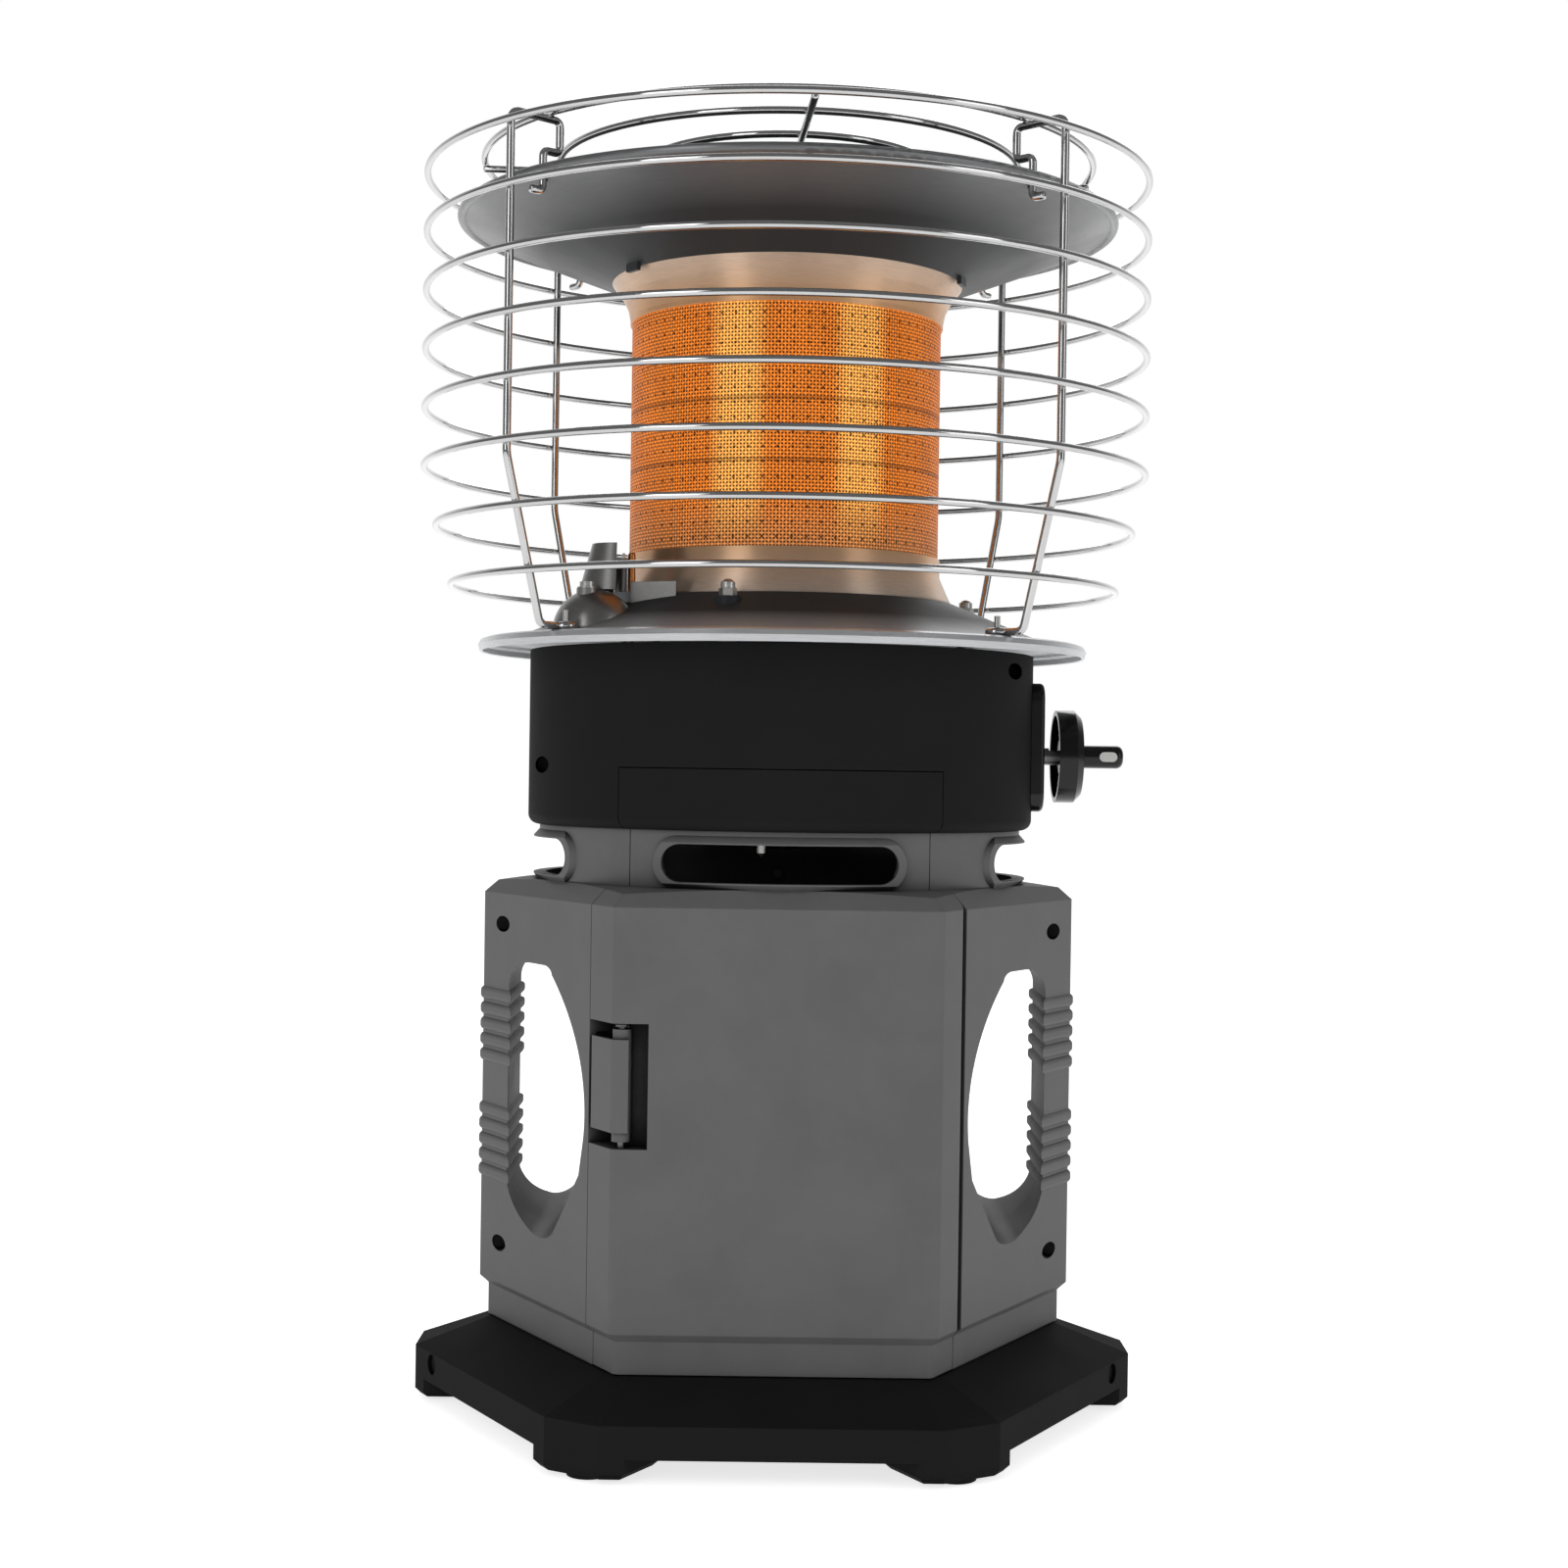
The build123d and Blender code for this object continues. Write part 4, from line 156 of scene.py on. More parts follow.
def calculate(material, operation, *values):
    """Result of one step of arithmetic on values or outputs."""
    inputs = {f"i{place}": value for place, value in enumerate(values)}
    return add(material, "Math", {"operation": operation}, **inputs).outputs["Value"]


def mapped_range(material, value, low, high, out_low, out_high):
    """Straight line from low..high to out_low..out_high, held at its ends."""
    node = add(
        material, "MapRange", None, Value=value,
        From_Min=low, From_Max=high, To_Min=out_low, To_Max=out_high,
    )
    return node.outputs["Result"]


def noise(material, place, scale, detail, roughness=0.5):
    """Cloudy noise with its scale in cells per metre."""
    node = add(
        material, "TexNoise", None, Vector=place, Scale=scale, Detail=detail, Roughness=roughness
    )
    return node.outputs["Fac"]


def ramp(material, fac, *stops):
    """Colour ramp from (position, colour) stops, read at fac."""
    node = add(material, "ValToRGB", None, Fac=fac)
    elements = node.color_ramp.elements
    while len(elements) < len(stops):
        elements.new(0.5)
    for element, (position, colour) in zip(elements, stops):
        element.position = position
        element.color = linear(colour) if isinstance(colour, str) else colour
    return node.outputs["Color"]


def shades(colour, darker, lighter, low=0.3, high=0.7):
    """Two stops of a ramp: the colour times darker at low, and times lighter at high."""
    base = np.array(linear(colour)[:3])
    return [
        (position, (*np.minimum(factor * base, 1.0), 1.0))
        for position, factor in ((low, darker), (high, lighter))
    ]


def mixed(material, share, first, second, blend="MIX"):
    """Two colours mixed by a share, or blended in another way."""
    settings = {"data_type": "RGBA", "blend_type": blend}
    return add(material, "Mix", settings, i0=share, i6=first, i7=second).outputs[2]


def bump(material, height, strength, depth, **normal):
    """Normal bent by a height, on top of another normal where one is given."""
    node = add(
        material, "Bump", None, Height=height, Strength=strength, Distance=depth, **normal
    )
    return node.outputs["Normal"]


def soft_edges(material, radius, samples=4):
    """Normal that turns round each edge as a small radius does."""
    return add(material, "Bevel", {"samples": samples}, Radius=radius).outputs["Normal"]


# %% [markdown]
# ## Moulded plastic
#
# Housing, base and drum are ABS and polypropylene, shot into steel moulds whose faces
# were spark eroded. That leaves a fine, even grain of a few tenths of a millimetre,
# broad soft highlights, and very slight waves where the wall shrank. Edges are rounded
# by the mould cutter, which a Bevel node imitates with a bent normal.

# %% Moulded plastic
POCKET_REACH = 14 * MM  # how far round a point the walls of a pocket darken it
POCKET_OPEN = (0.3, 0.75)  # where this share of the surroundings is open, dark turns plain
POCKET_SHADE = 0.05  # what the darkest pocket keeps of its colour
SINK_SCALE = 14.0
SINK_DEPTH = 0.12 * MM
BLOTCH_SCALE = 30.0
PLASTIC_IOR = 1.5


def moulded_plastic(name, colour, roughness, grain_mm, grain_depth_mm, edge_mm, specular=0.5):
    """Plastic with spark-eroded grain, slight sink waves, painted pocket shade, softened edges."""
    material = new_material(name)
    place = object_coordinates(material)
    grain = noise(material, place, 1 / (grain_mm * MM), 2.0, 0.6)
    waves = noise(material, place, SINK_SCALE, 1.0)
    tone = noise(material, place, BLOTCH_SCALE, 5.0, 0.65)
    paint = ramp(material, tone, *shades(colour, 0.93, 1.05, low=0.35, high=0.65))
    # painted shade: deep pockets are darkened by how closed in they are, where shade falls
    hollow = add(material, "AmbientOcclusion", {"samples": 8}, Distance=POCKET_REACH)
    painted_pocket_shade = mapped_range(material, hollow.outputs["AO"], *POCKET_OPEN, POCKET_SHADE, 1.0)
    paint = mixed(material, 1.0, paint, painted_pocket_shade, "MULTIPLY")
    gloss = mapped_range(material, tone, 0.3, 0.7, roughness - 0.04, roughness + 0.05)
    edges = soft_edges(material, edge_mm * MM, samples=6)
    sink = bump(material, waves, 1.0, SINK_DEPTH, Normal=edges)
    skin = bump(material, grain, 0.5, grain_depth_mm * MM, Normal=sink)
    shader = add(
        material, "BsdfPrincipled", None, Base_Color=paint, Roughness=gloss,
        IOR=PLASTIC_IOR, Specular_IOR_Level=specular, Normal=skin,
    )
    return finish_material(material, shader.outputs["BSDF"])


housing_abs = moulded_plastic(
    "charcoal_moulded_abs", "#5F5F60", 0.5, 0.45, 0.03, 0.5, specular=0.08
)
drum_abs = moulded_plastic("black_moulded_abs", "#1B1B1C", 0.72, 0.4, 0.03, 0.5, specular=0.05)
knob_phenolic = moulded_plastic(
    "glossy_black_phenolic", "#0B0B0C", 0.16, 1.2, 0.004, 0.4, specular=0.3
)
pointer_paint = moulded_plastic("white_pointer_paint", "#B4B4B1", 0.4, 0.3, 0.01, 0.1)
pad_rubber = moulded_plastic(
    "black_moulded_rubber", "#121212", 0.78, 0.6, 0.05, 0.4, specular=0.25
)
print("plastics: 5")

# %% [markdown]
# ## Spun and brushed steel
#
# Dish, collars and reflector are stainless steel, spun on a lathe over a form and then
# brushed while still turning. Every scratch runs round the axis, so the pattern changes
# with radius and height and hardly along the turn, and the highlight is drawn out
# across the scratches. Near the burner the steel has taken a straw to orange heat tint,
# and the orange light that the glowing burner throws on it is painted in with the tint.
# The middles of dish and reflector are painted dark and dull: a painted reflection of the
# dark that they mirror there. A thin haze makes the rest of them less metallic than new steel.

# %% Spun steel
BRUSH_MM = 0.35
BRUSH_DRIFT = 0.004  # how far the pattern drifts along a scratch, in metres per radian
HAZE_SCALE = 22.0
BURNER_MIDDLE = 0.4355  # height of the middle of the burner
FULL_HEAT_AND_GLOW = 0.045  # as far as this from there, up and down, heat tint and painted glow are full
DARK_MIDDLE_METAL = 0.12  # how metallic the painted dark middle is
DARK_MIDDLE_SPECULAR = 0.2
SPUN_EDGE = 0.25 * MM
SCRATCH_DEPTH = 0.02 * MM


def turn_coordinates(material):
    """Angle round the axis, radius, and height of a point."""
    parts = add(material, "SeparateXYZ", None, Vector=object_coordinates(material))
    x, y, z = (parts.outputs[axis] for axis in "XYZ")
    flat = add(material, "CombineXYZ", None, X=x, Y=y)
    radius = add(material, "VectorMath", {"operation": "LENGTH"}, i0=flat.outputs["Vector"])
    return calculate(material, "ARCTAN2", y, x), radius.outputs["Value"], z


def distance_from(material, height, level):
    """How far a height is from a level, up or down."""
    return calculate(material, "ABSOLUTE", calculate(material, "SUBTRACT", height, level))


def spun_steel(
    name, colour, roughness, heat_and_glow_colour=None, heat_and_glow_reach=0.1, anisotropy=0.7,
    painted_dark_middle=None, bare=1.0,
):
    """Steel brushed round the axis; heat tint and painted glow fade with height from the burner.

    painted_dark_middle is the colour and roughness of a painted dark reflection near the axis,
    and the radii between which it fades out. bare is how metallic the hazy rest is.
    """
    material = new_material(name)
    angle, radius, height = turn_coordinates(material)
    drift = calculate(material, "MULTIPLY", angle, BRUSH_DRIFT)
    thread = add(material, "CombineXYZ", None, X=radius, Y=height, Z=drift)
    brush = noise(material, thread.outputs["Vector"], 1 / (BRUSH_MM * MM), 3.0, 0.7)
    haze = noise(material, object_coordinates(material), HAZE_SCALE, 4.0)
    tone = ramp(material, brush, *shades(colour, 0.84, 1.08))
    gloss = mapped_range(material, haze, 0.3, 0.7, roughness - 0.05, roughness + 0.06)
    finish = {"Metallic": 1.0}
    # heat tint, with painted orange light of the glowing burner, fading up and down from it
    if heat_and_glow_colour:
        away = distance_from(material, height, BURNER_MIDDLE)
        share = mapped_range(material, away, FULL_HEAT_AND_GLOW, FULL_HEAT_AND_GLOW + heat_and_glow_reach, 1.0, 0.0)
        tone = mixed(material, share, tone, linear(heat_and_glow_colour))
    # painted reflection: a dark, dull middle stands in for the dark mirrored near the axis
    if painted_dark_middle:
        dark_middle_colour, dark_middle_roughness, *dark_middle_radii = painted_dark_middle
        share = mapped_range(material, radius, *dark_middle_radii, 1.0, 0.0)
        tone = mixed(material, share, tone, linear(dark_middle_colour))
        rougher = calculate(material, "MULTIPLY", share, dark_middle_roughness - roughness)
        gloss = calculate(material, "ADD", gloss, rougher)
        metal = mapped_range(material, share, 0.0, 1.0, bare, DARK_MIDDLE_METAL)
        finish = {"Metallic": metal, "Specular_IOR_Level": DARK_MIDDLE_SPECULAR}
    scratch = bump(material, brush, 0.15, SCRATCH_DEPTH, Normal=soft_edges(material, SPUN_EDGE))
    around = add(material, "Tangent", {"direction_type": "RADIAL", "axis": "Z"})
    # scratches run along the tangent, so the highlight is drawn out a quarter turn from it
    shader = add(
        material, "BsdfPrincipled", None, Base_Color=tone, Roughness=gloss, Normal=scratch,
        Tangent=around.outputs["Tangent"], Anisotropic=anisotropy, Anisotropic_Rotation=0.25,
        **finish,
    )
    return finish_material(material, shader.outputs["BSDF"])


dish_steel = spun_steel(
    "spun_stainless_dish", "#B4B6B8", 0.3, painted_dark_middle=("#2A2C2E", 0.55, 0.1, 0.135), bare=0.6
)
reflector_steel = spun_steel(
    "spun_stainless_reflector", "#7C7D7E", 0.3, painted_dark_middle=("#2A2C2E", 0.5, 0.11, 0.155), bare=0.75
)
collar_steel = spun_steel(
    "spun_stainless_collar", "#EADCCF", 0.5, heat_and_glow_colour="#E3AA70", heat_and_glow_reach=0.035, anisotropy=1.0
)
pilot_steel = spun_steel("drawn_stainless_pilot", "#8C8C8B", 0.34, anisotropy=0.2)
print("spun steels: 4")

# %% [markdown]
# ## Wire, sheet, turned metal
#
# The guard is drawn steel wire with bright nickel and chrome plating: almost a mirror,
# with faint drawing marks. Brackets are galvanised sheet, screws are zinc plated or
# blackened, the valve is die cast and its fittings are turned brass.

# %% Plain metals
METAL_EDGE = 0.2 * MM
CLOUD_SCALE = 60.0
SMOOTHEST = 0.02  # roughness that plating doesn't go below


def plated_metal(name, colour, roughness, mark_mm, mark_strength, tint=0.1):
    """Bare or plated metal with fine marks, uneven gloss and softened edges."""
    material = new_material(name)
    place = object_coordinates(material)
    marks = noise(material, place, 1 / (mark_mm * MM), 3.0, 0.6)
    cloud = noise(material, place, CLOUD_SCALE, 3.0)
    tone = ramp(material, cloud, *shades(colour, 1 - tint, 1 + tint))
    smooth = max(SMOOTHEST, roughness - 0.05)
    gloss = mapped_range(material, marks, 0.3, 0.7, smooth, roughness + 0.07)
    edges = soft_edges(material, METAL_EDGE)
    skin = bump(material, marks, mark_strength, SCRATCH_DEPTH, Normal=edges)
    shader = add(
        material, "BsdfPrincipled", None, Base_Color=tone, Metallic=1.0,
        Roughness=gloss, Normal=skin,
    )
    return finish_material(material, shader.outputs["BSDF"])


chrome_wire = plated_metal("chrome_plated_wire", "#B8B8B8", 0.07, 0.5, 0.1, tint=0.03)
galvanised = plated_metal("galvanised_sheet", "#8D9092", 0.42, 2.0, 0.3)
zinc_screw = plated_metal("zinc_plated_screw", "#B9B9B6", 0.3, 0.3, 0.2)
black_oxide = plated_metal("black_oxide_screw", "#161616", 0.45, 0.3, 0.3)
cast_alloy = plated_metal("die_cast_alloy", "#A4A5A6", 0.5, 0.8, 0.5)
turned_brass = plated_metal("turned_brass", "#A88A45", 0.28, 0.3, 0.2)
dark_zinc = plated_metal("dark_zinc_plated_socket", "#4A4A49", 0.4, 0.3, 0.2)
drawn_tube = plated_metal("drawn_aluminium_tube", "#B7B5B0", 0.35, 0.4, 0.2)
copper_lead = plated_metal("drawn_copper_lead", "#B87445", 0.32, 0.4, 0.2)
spring_steel = plated_metal("spring_steel", "#747474", 0.35, 0.3, 0.2)
print("plain metals: 10")

# %% Painted sheet and glazed ceramic
COAT_EDGE = 0.3 * MM
COAT_ROUGHNESS = 0.15
COAT_TONE_SCALE = 40.0


def coated(name, colour, roughness, peel_mm, peel_depth_mm, coat):
    """Powder coat or glaze: an opaque colour with orange peel and a clear skin."""
    material = new_material(name)
    place = object_coordinates(material)
    peel = noise(material, place, 1 / (peel_mm * MM), 1.0)
    tone = noise(material, place, COAT_TONE_SCALE, 4.0)
    paint = ramp(material, tone, *shades(colour, 0.92, 1.05))
    edges = soft_edges(material, COAT_EDGE)
    skin = bump(material, peel, 0.4, peel_depth_mm * MM, Normal=edges)
    shader = add(
        material, "BsdfPrincipled", None, Base_Color=paint, Roughness=roughness,
        Coat_Weight=coat, Coat_Roughness=COAT_ROUGHNESS, Normal=skin,
    )
    return finish_material(material, shader.outputs["BSDF"])


# painted shade: the liner inside the neck is black, standing in for the shade in the vent behind
# the slots
painted_shade_black_coat = coated("painted_shade_black_coat", "#161617", 0.5, 1.4, 0.03, 0.1)
glazed_ceramic = coated("glazed_white_ceramic", "#E6E1D4", 0.25, 2.0, 0.01, 0.5)
print("coatings: 2")

# %% [markdown]
# ## The glowing burner
#
# The burner is a sleeve of woven heat-resisting steel wire, pulled over a perforated
# tube. Gas burns on its surface, so the weave glows orange. Lighter bands on it are painted
# highlights with rows of dark dots, and the crowns of the wires carry painted highlights.
# The wires lie 1.5 mm apart. Going over and under each other makes one bulge per
# crossing, so the pattern is a product of two sine waves that swap sign from one
# crossing to the next.

# %% Woven burner mesh
WEAVE_PITCH = 1.5 * MM
HIGHLIGHT_BAND_STEP = math.radians(45)  # from one painted highlight band to the next
HIGHLIGHT_PAIR_STEP = math.radians(180)  # the painted highlight bands come in pairs, in front and at the back
HIGHLIGHT_PAIR_TURN = math.radians(-85)  # angle midway between the two painted highlight bands in front
SEAM_LEVELS = (0.445, 0.4187)
SEAM_HALF = 1.0 * MM
DOT_PITCH = 6.4 * MM
BURNER_RADIUS = 0.0702
GLOW_MIDDLE = BURNER_MIDDLE + 0.008  # height at which the weave is hottest
COOL_EDGE = (0.038, 0.062)  # up and down from there, where it starts to cool and has cooled
CROWN_RELIEF = 0.25 * MM
GLOW_STRENGTH = 0.6
QUARTER = math.pi / 2


def wave(material, value, period, phase=0.0):
    """Sine of 2 pi value / period + phase."""
    turned = calculate(material, "MULTIPLY_ADD", value, 2 * math.pi / period, phase)
    return calculate(material, "SINE", turned)


def glowing_weave(name):
    """Woven steel that glows: dark holes, painted highlights on crowns and bands, two seams."""
    material = new_material(name)
    angle, _, height = turn_coordinates(material)
    around = calculate(material, "MULTIPLY", angle, BURNER_RADIUS)
    # a hole lies where both the upright and the level wires are far away
    upright = calculate(material, "ABSOLUTE", wave(material, around, 2 * WEAVE_PITCH))
    level = calculate(material, "ABSOLUTE", wave(material, height, 2 * WEAVE_PITCH))
    nearest = calculate(material, "MINIMUM", upright, level)
    crowns = calculate(
        material, "MULTIPLY",
        wave(material, around, 2 * WEAVE_PITCH, QUARTER),
        wave(material, height, 2 * WEAVE_PITCH, QUARTER),
    )
    # painted highlight bands, and rows of dark dots
    turned = calculate(material, "SUBTRACT", angle, HIGHLIGHT_PAIR_TURN)
    band_pair = wave(material, turned, HIGHLIGHT_PAIR_STEP, QUARTER)
    painted_band = wave(material, turned, HIGHLIGHT_BAND_STEP, -QUARTER)
    painted_band = calculate(
        material, "MULTIPLY",
        mapped_range(material, painted_band, 0.0, 0.75, 0.0, 1.0),
        mapped_range(material, band_pair, 0.0, 0.5, 0.0, 1.0),
    )
    dots = calculate(
        material, "MINIMUM",
        wave(material, around, DOT_PITCH), wave(material, height, DOT_PITCH),
    )
    # level seams of the tube, and a cooler edge near both collars
    seams = [calculate(material, "COMPARE", height, place, SEAM_HALF) for place in SEAM_LEVELS]
    seam = calculate(material, "MAXIMUM", *seams)
    away = distance_from(material, height, GLOW_MIDDLE)
    cool = mapped_range(material, away, *COOL_EDGE, 0.0, 1.0)
    cloud = noise(material, object_coordinates(material), CLOUD_SCALE, 3.0)
    # painted highlight bands: the glowing wire is a lighter orange along them
    wire = ramp(material, painted_band, (0.0, "#C46A1F"), (1.0, "#E39C49"))
    wire = mixed(material, cool, wire, linear("#A96A3A"))
    # painted highlight: the crowns of the wires are brightened
    shade = mapped_range(material, crowns, -0.6, 1.0, 0.85, 1.3)
    for value, *line in (
        (nearest, 0.4, 0.8, 1.15, 0.05),
        (dots, 0.78, 0.88, 1.0, 0.2),
        (seam, 0.0, 1.0, 1.0, 0.6),
        (cloud, 0.3, 0.7, 0.88, 1.1),
    ):
        shade = calculate(material, "MULTIPLY", shade, mapped_range(material, value, *line))
    glow = mixed(material, 1.0, wire, shade, "MULTIPLY")
    shader = add(
        material, "BsdfPrincipled", None, Base_Color=glow, Metallic=0.3, Roughness=0.5,
        Specular_IOR_Level=0.2, Emission_Color=glow, Emission_Strength=GLOW_STRENGTH,
        Normal=bump(material, crowns, 0.8, CROWN_RELIEF),
    )
    return finish_material(material, shader.outputs["BSDF"])


burner_weave = glowing_weave("glowing_woven_steel")
tube_steel = spun_steel("heat_and_glow_tinted_tube", "#8A6A50", 0.4, heat_and_glow_colour="#B06A30")
print("burner finishes: 2")

# %% [markdown]
# ## Surfaces from arrays
#
# Every new piece is a grid of points: a circle carried round the axis, or along the line
# of a bent wire. The points are worked out as whole arrays, the grid closes on itself
# where the real surface does, and each vertex keeps its place on the real object.

# %% Grid meshes
END_BULGE = 0.5  # how far a wire's end bulges out, in wire radii
DOME_RINGS = 4
TUBE_SECTION = 12
ARC_POINTS = 7
SAME_POINT = 0.001 * MM  # points closer than this become one


def grid(points, wrap_rows=False, wrap_columns=False):
    """Quads over points (rows, columns, 3), joined to the first row or column if asked."""
    rows, columns = points.shape[:2]
    row = np.arange(rows if wrap_rows else rows - 1)
    column = np.arange(columns if wrap_columns else columns - 1)
    row, column = np.meshgrid(row, column, indexing="ij")
    next_row = (row + 1) % rows
    next_column = (column + 1) % columns
    quads = np.stack(
        [
            row * columns + column,
            next_row * columns + column,
            next_row * columns + next_column,
            row * columns + next_column,
        ],
        axis=-1,
    ).reshape(-1, 4)
    return points.reshape(-1, 3), quads


def mesh_object(name, grids, material):
    """One object from several (points, quads) grids, smooth, with its material."""
    starts = np.cumsum([0] + [len(points) for points, _ in grids])
    points = np.concatenate([points for points, _ in grids])
    quads = np.concatenate([quads + start for (_, quads), start in zip(grids, starts)])
    mesh = bpy.data.meshes.new(name)
    mesh.from_pydata(points.tolist(), [], quads.tolist())
    mesh.polygons.foreach_set("use_smooth", np.ones(len(quads), bool))
    mesh.materials.append(material)
    mesh.validate()
    # the points of each pole lie on one another, and become one
    shell = bmesh.new()
    shell.from_mesh(mesh)
    bmesh.ops.remove_doubles(shell, verts=shell.verts, dist=SAME_POINT)
    shell.to_mesh(mesh)
    shell.free()
    piece = bpy.data.objects.new(name, mesh)
    bpy.context.scene.collection.objects.link(piece)
    return piece


def torus_grid(radius, level, wire, around=240, section=14):
    """Ring: ((R + r cos v) cos u, (R + r cos v) sin u, z + r sin v)."""
    u = np.linspace(0, 2 * np.pi, around, endpoint=False)[:, None]
    v = np.linspace(0, 2 * np.pi, section, endpoint=False)[None, :]
    reach = radius + wire * np.cos(v)
    points = np.stack(
        [reach * np.cos(u), reach * np.sin(u), level + wire * np.sin(v) + 0 * u], axis=-1
    )
    return grid(points * MM, True, True)


def flat_tube_grid(path, side, wire):
    """Tube along a line that stays in one plane: centre + r (cos v * across - sin v * side)."""
    path = np.asarray(path, float)
    along = np.gradient(path, axis=0)
    along /= np.linalg.norm(along, axis=1, keepdims=True)
    side = np.asarray(side, float)
    across = np.cross(side, along)
    v = np.linspace(0, 2 * np.pi, TUBE_SECTION, endpoint=False)[None, :, None]
    ring = wire * (np.cos(v) * across[:, None, :] - np.sin(v) * side)
    points = path[:, None, :] + ring
    # a dome of END_BULGE wire radii closes each end: bulge sin t outwards, r cos t across
    dome = np.linspace(0.0, 0.5 * np.pi, DOME_RINGS)[1:, None, None]
    start = path[0] - along[0] * wire * END_BULGE * np.sin(dome) + ring[0] * np.cos(dome)
    end = path[-1] + along[-1] * wire * END_BULGE * np.sin(dome) + ring[-1] * np.cos(dome)
    points = np.concatenate([start[::-1], points, end])
    return grid(points * MM, False, True)


def filleted(corners, radii):
    """Points of a bent wire: straight runs, and at each inner corner an arc tangent to both."""
    corners = [np.array(corner, float) for corner in corners]
    line = [corners[0]]
    for before, corner, after, radius in zip(corners, corners[1:], corners[2:], radii):
        to_before = (before - corner) / np.linalg.norm(before - corner)
        to_after = (after - corner) / np.linalg.norm(after - corner)
        half = 0.5 * math.acos(np.clip(to_before @ to_after, -1, 1))
        middle = (to_before + to_after) / np.linalg.norm(to_before + to_after)
        centre = corner + middle * radius / math.sin(half)
        start = corner + to_before * radius / math.tan(half) - centre
        end = corner + to_after * radius / math.tan(half) - centre
        turn = math.pi - 2 * half
        share = np.linspace(0, 1, ARC_POINTS)[:, None]
        arc = np.sin((1 - share) * turn) * start + np.sin(share * turn) * end
        line.extend(centre + arc / math.sin(turn))
    line.append(corners[-1])
    return np.array(line)


print("surface helpers ready")

# %% [markdown]
# ## Wire guard
#
# Six equal rings and two smaller ones are spot welded to four upright posts. Each post
# hooks in over the reflector, runs down inside the rings, leans in towards the foot and
# ends in an eyelet under a screw. Three flat rings and two crossed wires close the top.
# The rings are tori; each post is a circle carried along its bent line.

# %% Guard wires
WIRE = 1.6
POST_WIRE = 1.75
WELD_GAP = 0.02
SIDE_RADIUS = 162.8
RING_PITCH = 26.2
LOW_RADII = (157.3, 150.3)
TOP_RING = 550.4
TOP_LEVEL = TOP_RING + 8.0
TOP_RADII = (137.6, 104.0, 66.0)
POST_ANGLES = (224.0, 315.0, 136.0, 47.0)
CROSS_TURNS = (4.0, 94.0)
CROSS_POINTS = 9
LAND = 343.0  # level of the dish where the eyelets lie on it
EYELET_CIRCLE = 127.0
EYELET_RADIUS = 3.4
HOOK_DROPS = (13.5, 17.0)  # from the top to the hook's arm, and from there to its tail
HOOK_RADII = (133.7, 142.5, 148.5)  # from the axis to inner upright, outer upright and tail end
HOOK_BEND = 2.6
POST_BENDS = (4.0, 20.0, 4.0)  # top corner, knee and foot


def wires(name, replaced, grids):
    """One chromed piece that stands for a CAD node."""
    piece = mesh_object(name, grids, chrome_wire)
    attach(piece, "heater")
    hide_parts(replaced)
    print(name, len(piece.data.polygons), "faces")


ring_levels = [TOP_RING - RING_PITCH * step for step in range(8)]
side_rings = [torus_grid(SIDE_RADIUS, level, WIRE) for level in ring_levels[:6]]
wires("side_ring_wires", "guard_rings", side_rings)
wires("upper_low_ring_wire", "guard_ring_7", [torus_grid(LOW_RADII[0], ring_levels[6], WIRE)])
wires("lowest_ring_wire", "guard_ring_8", [torus_grid(LOW_RADII[1], ring_levels[7], WIRE)])
wires("top_ring_wires", "top_rings", [torus_grid(radius, TOP_LEVEL, WIRE) for radius in TOP_RADII])


def outwards(turn):
    """Level direction away from the axis, at an angle in degrees."""
    return np.array([math.cos(math.radians(turn)), math.sin(math.radians(turn)), 0])


def cross_grid(turn):
    """Straight wire across the top at an angle."""
    level = np.array([0, 0, TOP_LEVEL - 2 * WIRE - WELD_GAP])
    share = np.linspace(-1, 1, CROSS_POINTS)[:, None]
    return flat_tube_grid(level + share * outwards(turn) * TOP_RADII[0], (0, 0, 1), WIRE)


wires("crossed_wires", "cross_wires", [cross_grid(turn) for turn in CROSS_TURNS])


def post_grids(turn):
    """Bent line of a post in its upright plane, and its eyelet."""
    inner, outer, tail_end = HOOK_RADII
    under = TOP_LEVEL - WIRE - POST_WIRE - WELD_GAP
    arm = under - HOOK_DROPS[0]
    tail = arm - HOOK_DROPS[1]
    post = SIDE_RADIUS - WIRE - POST_WIRE - WELD_GAP
    lean = (LOW_RADII[0] - LOW_RADII[1]) / RING_PITCH
    setback = (WIRE + POST_WIRE + WELD_GAP) * math.hypot(1, lean)
    foot = LAND + POST_WIRE
    line_radius = LOW_RADII[0] - setback
    knee = ring_levels[6] + (post - line_radius) / lean
    foot_radius = line_radius - (ring_levels[6] - foot) * lean
    corners = [
        (tail_end, tail), (outer, tail), (outer, arm), (inner, arm), (inner, under),
        (post, under), (post, knee), (foot_radius, foot), (EYELET_CIRCLE + EYELET_RADIUS, foot),
    ]
    flat = filleted(corners, [HOOK_BEND] * 4 + list(POST_BENDS))
    outward = outwards(turn)
    line = flat[:, :1] * outward + flat[:, 1:] * np.array([0, 0, 1])
    side = np.array([-outward[1], outward[0], 0])
    ring_points, ring_quads = torus_grid(EYELET_RADIUS, foot, POST_WIRE, around=40, section=12)
    eyelet = (ring_points + outward * EYELET_CIRCLE * MM, ring_quads)
    return [flat_tube_grid(line, side, POST_WIRE), eyelet]


wires("post_wires", "guard_posts", [part for turn in POST_ANGLES for part in post_grids(turn)])

# %% [markdown]
# ## Finishes on the CAD nodes
#
# Every node that keeps its CAD shape gets the finish of the real piece on its material
# slot.

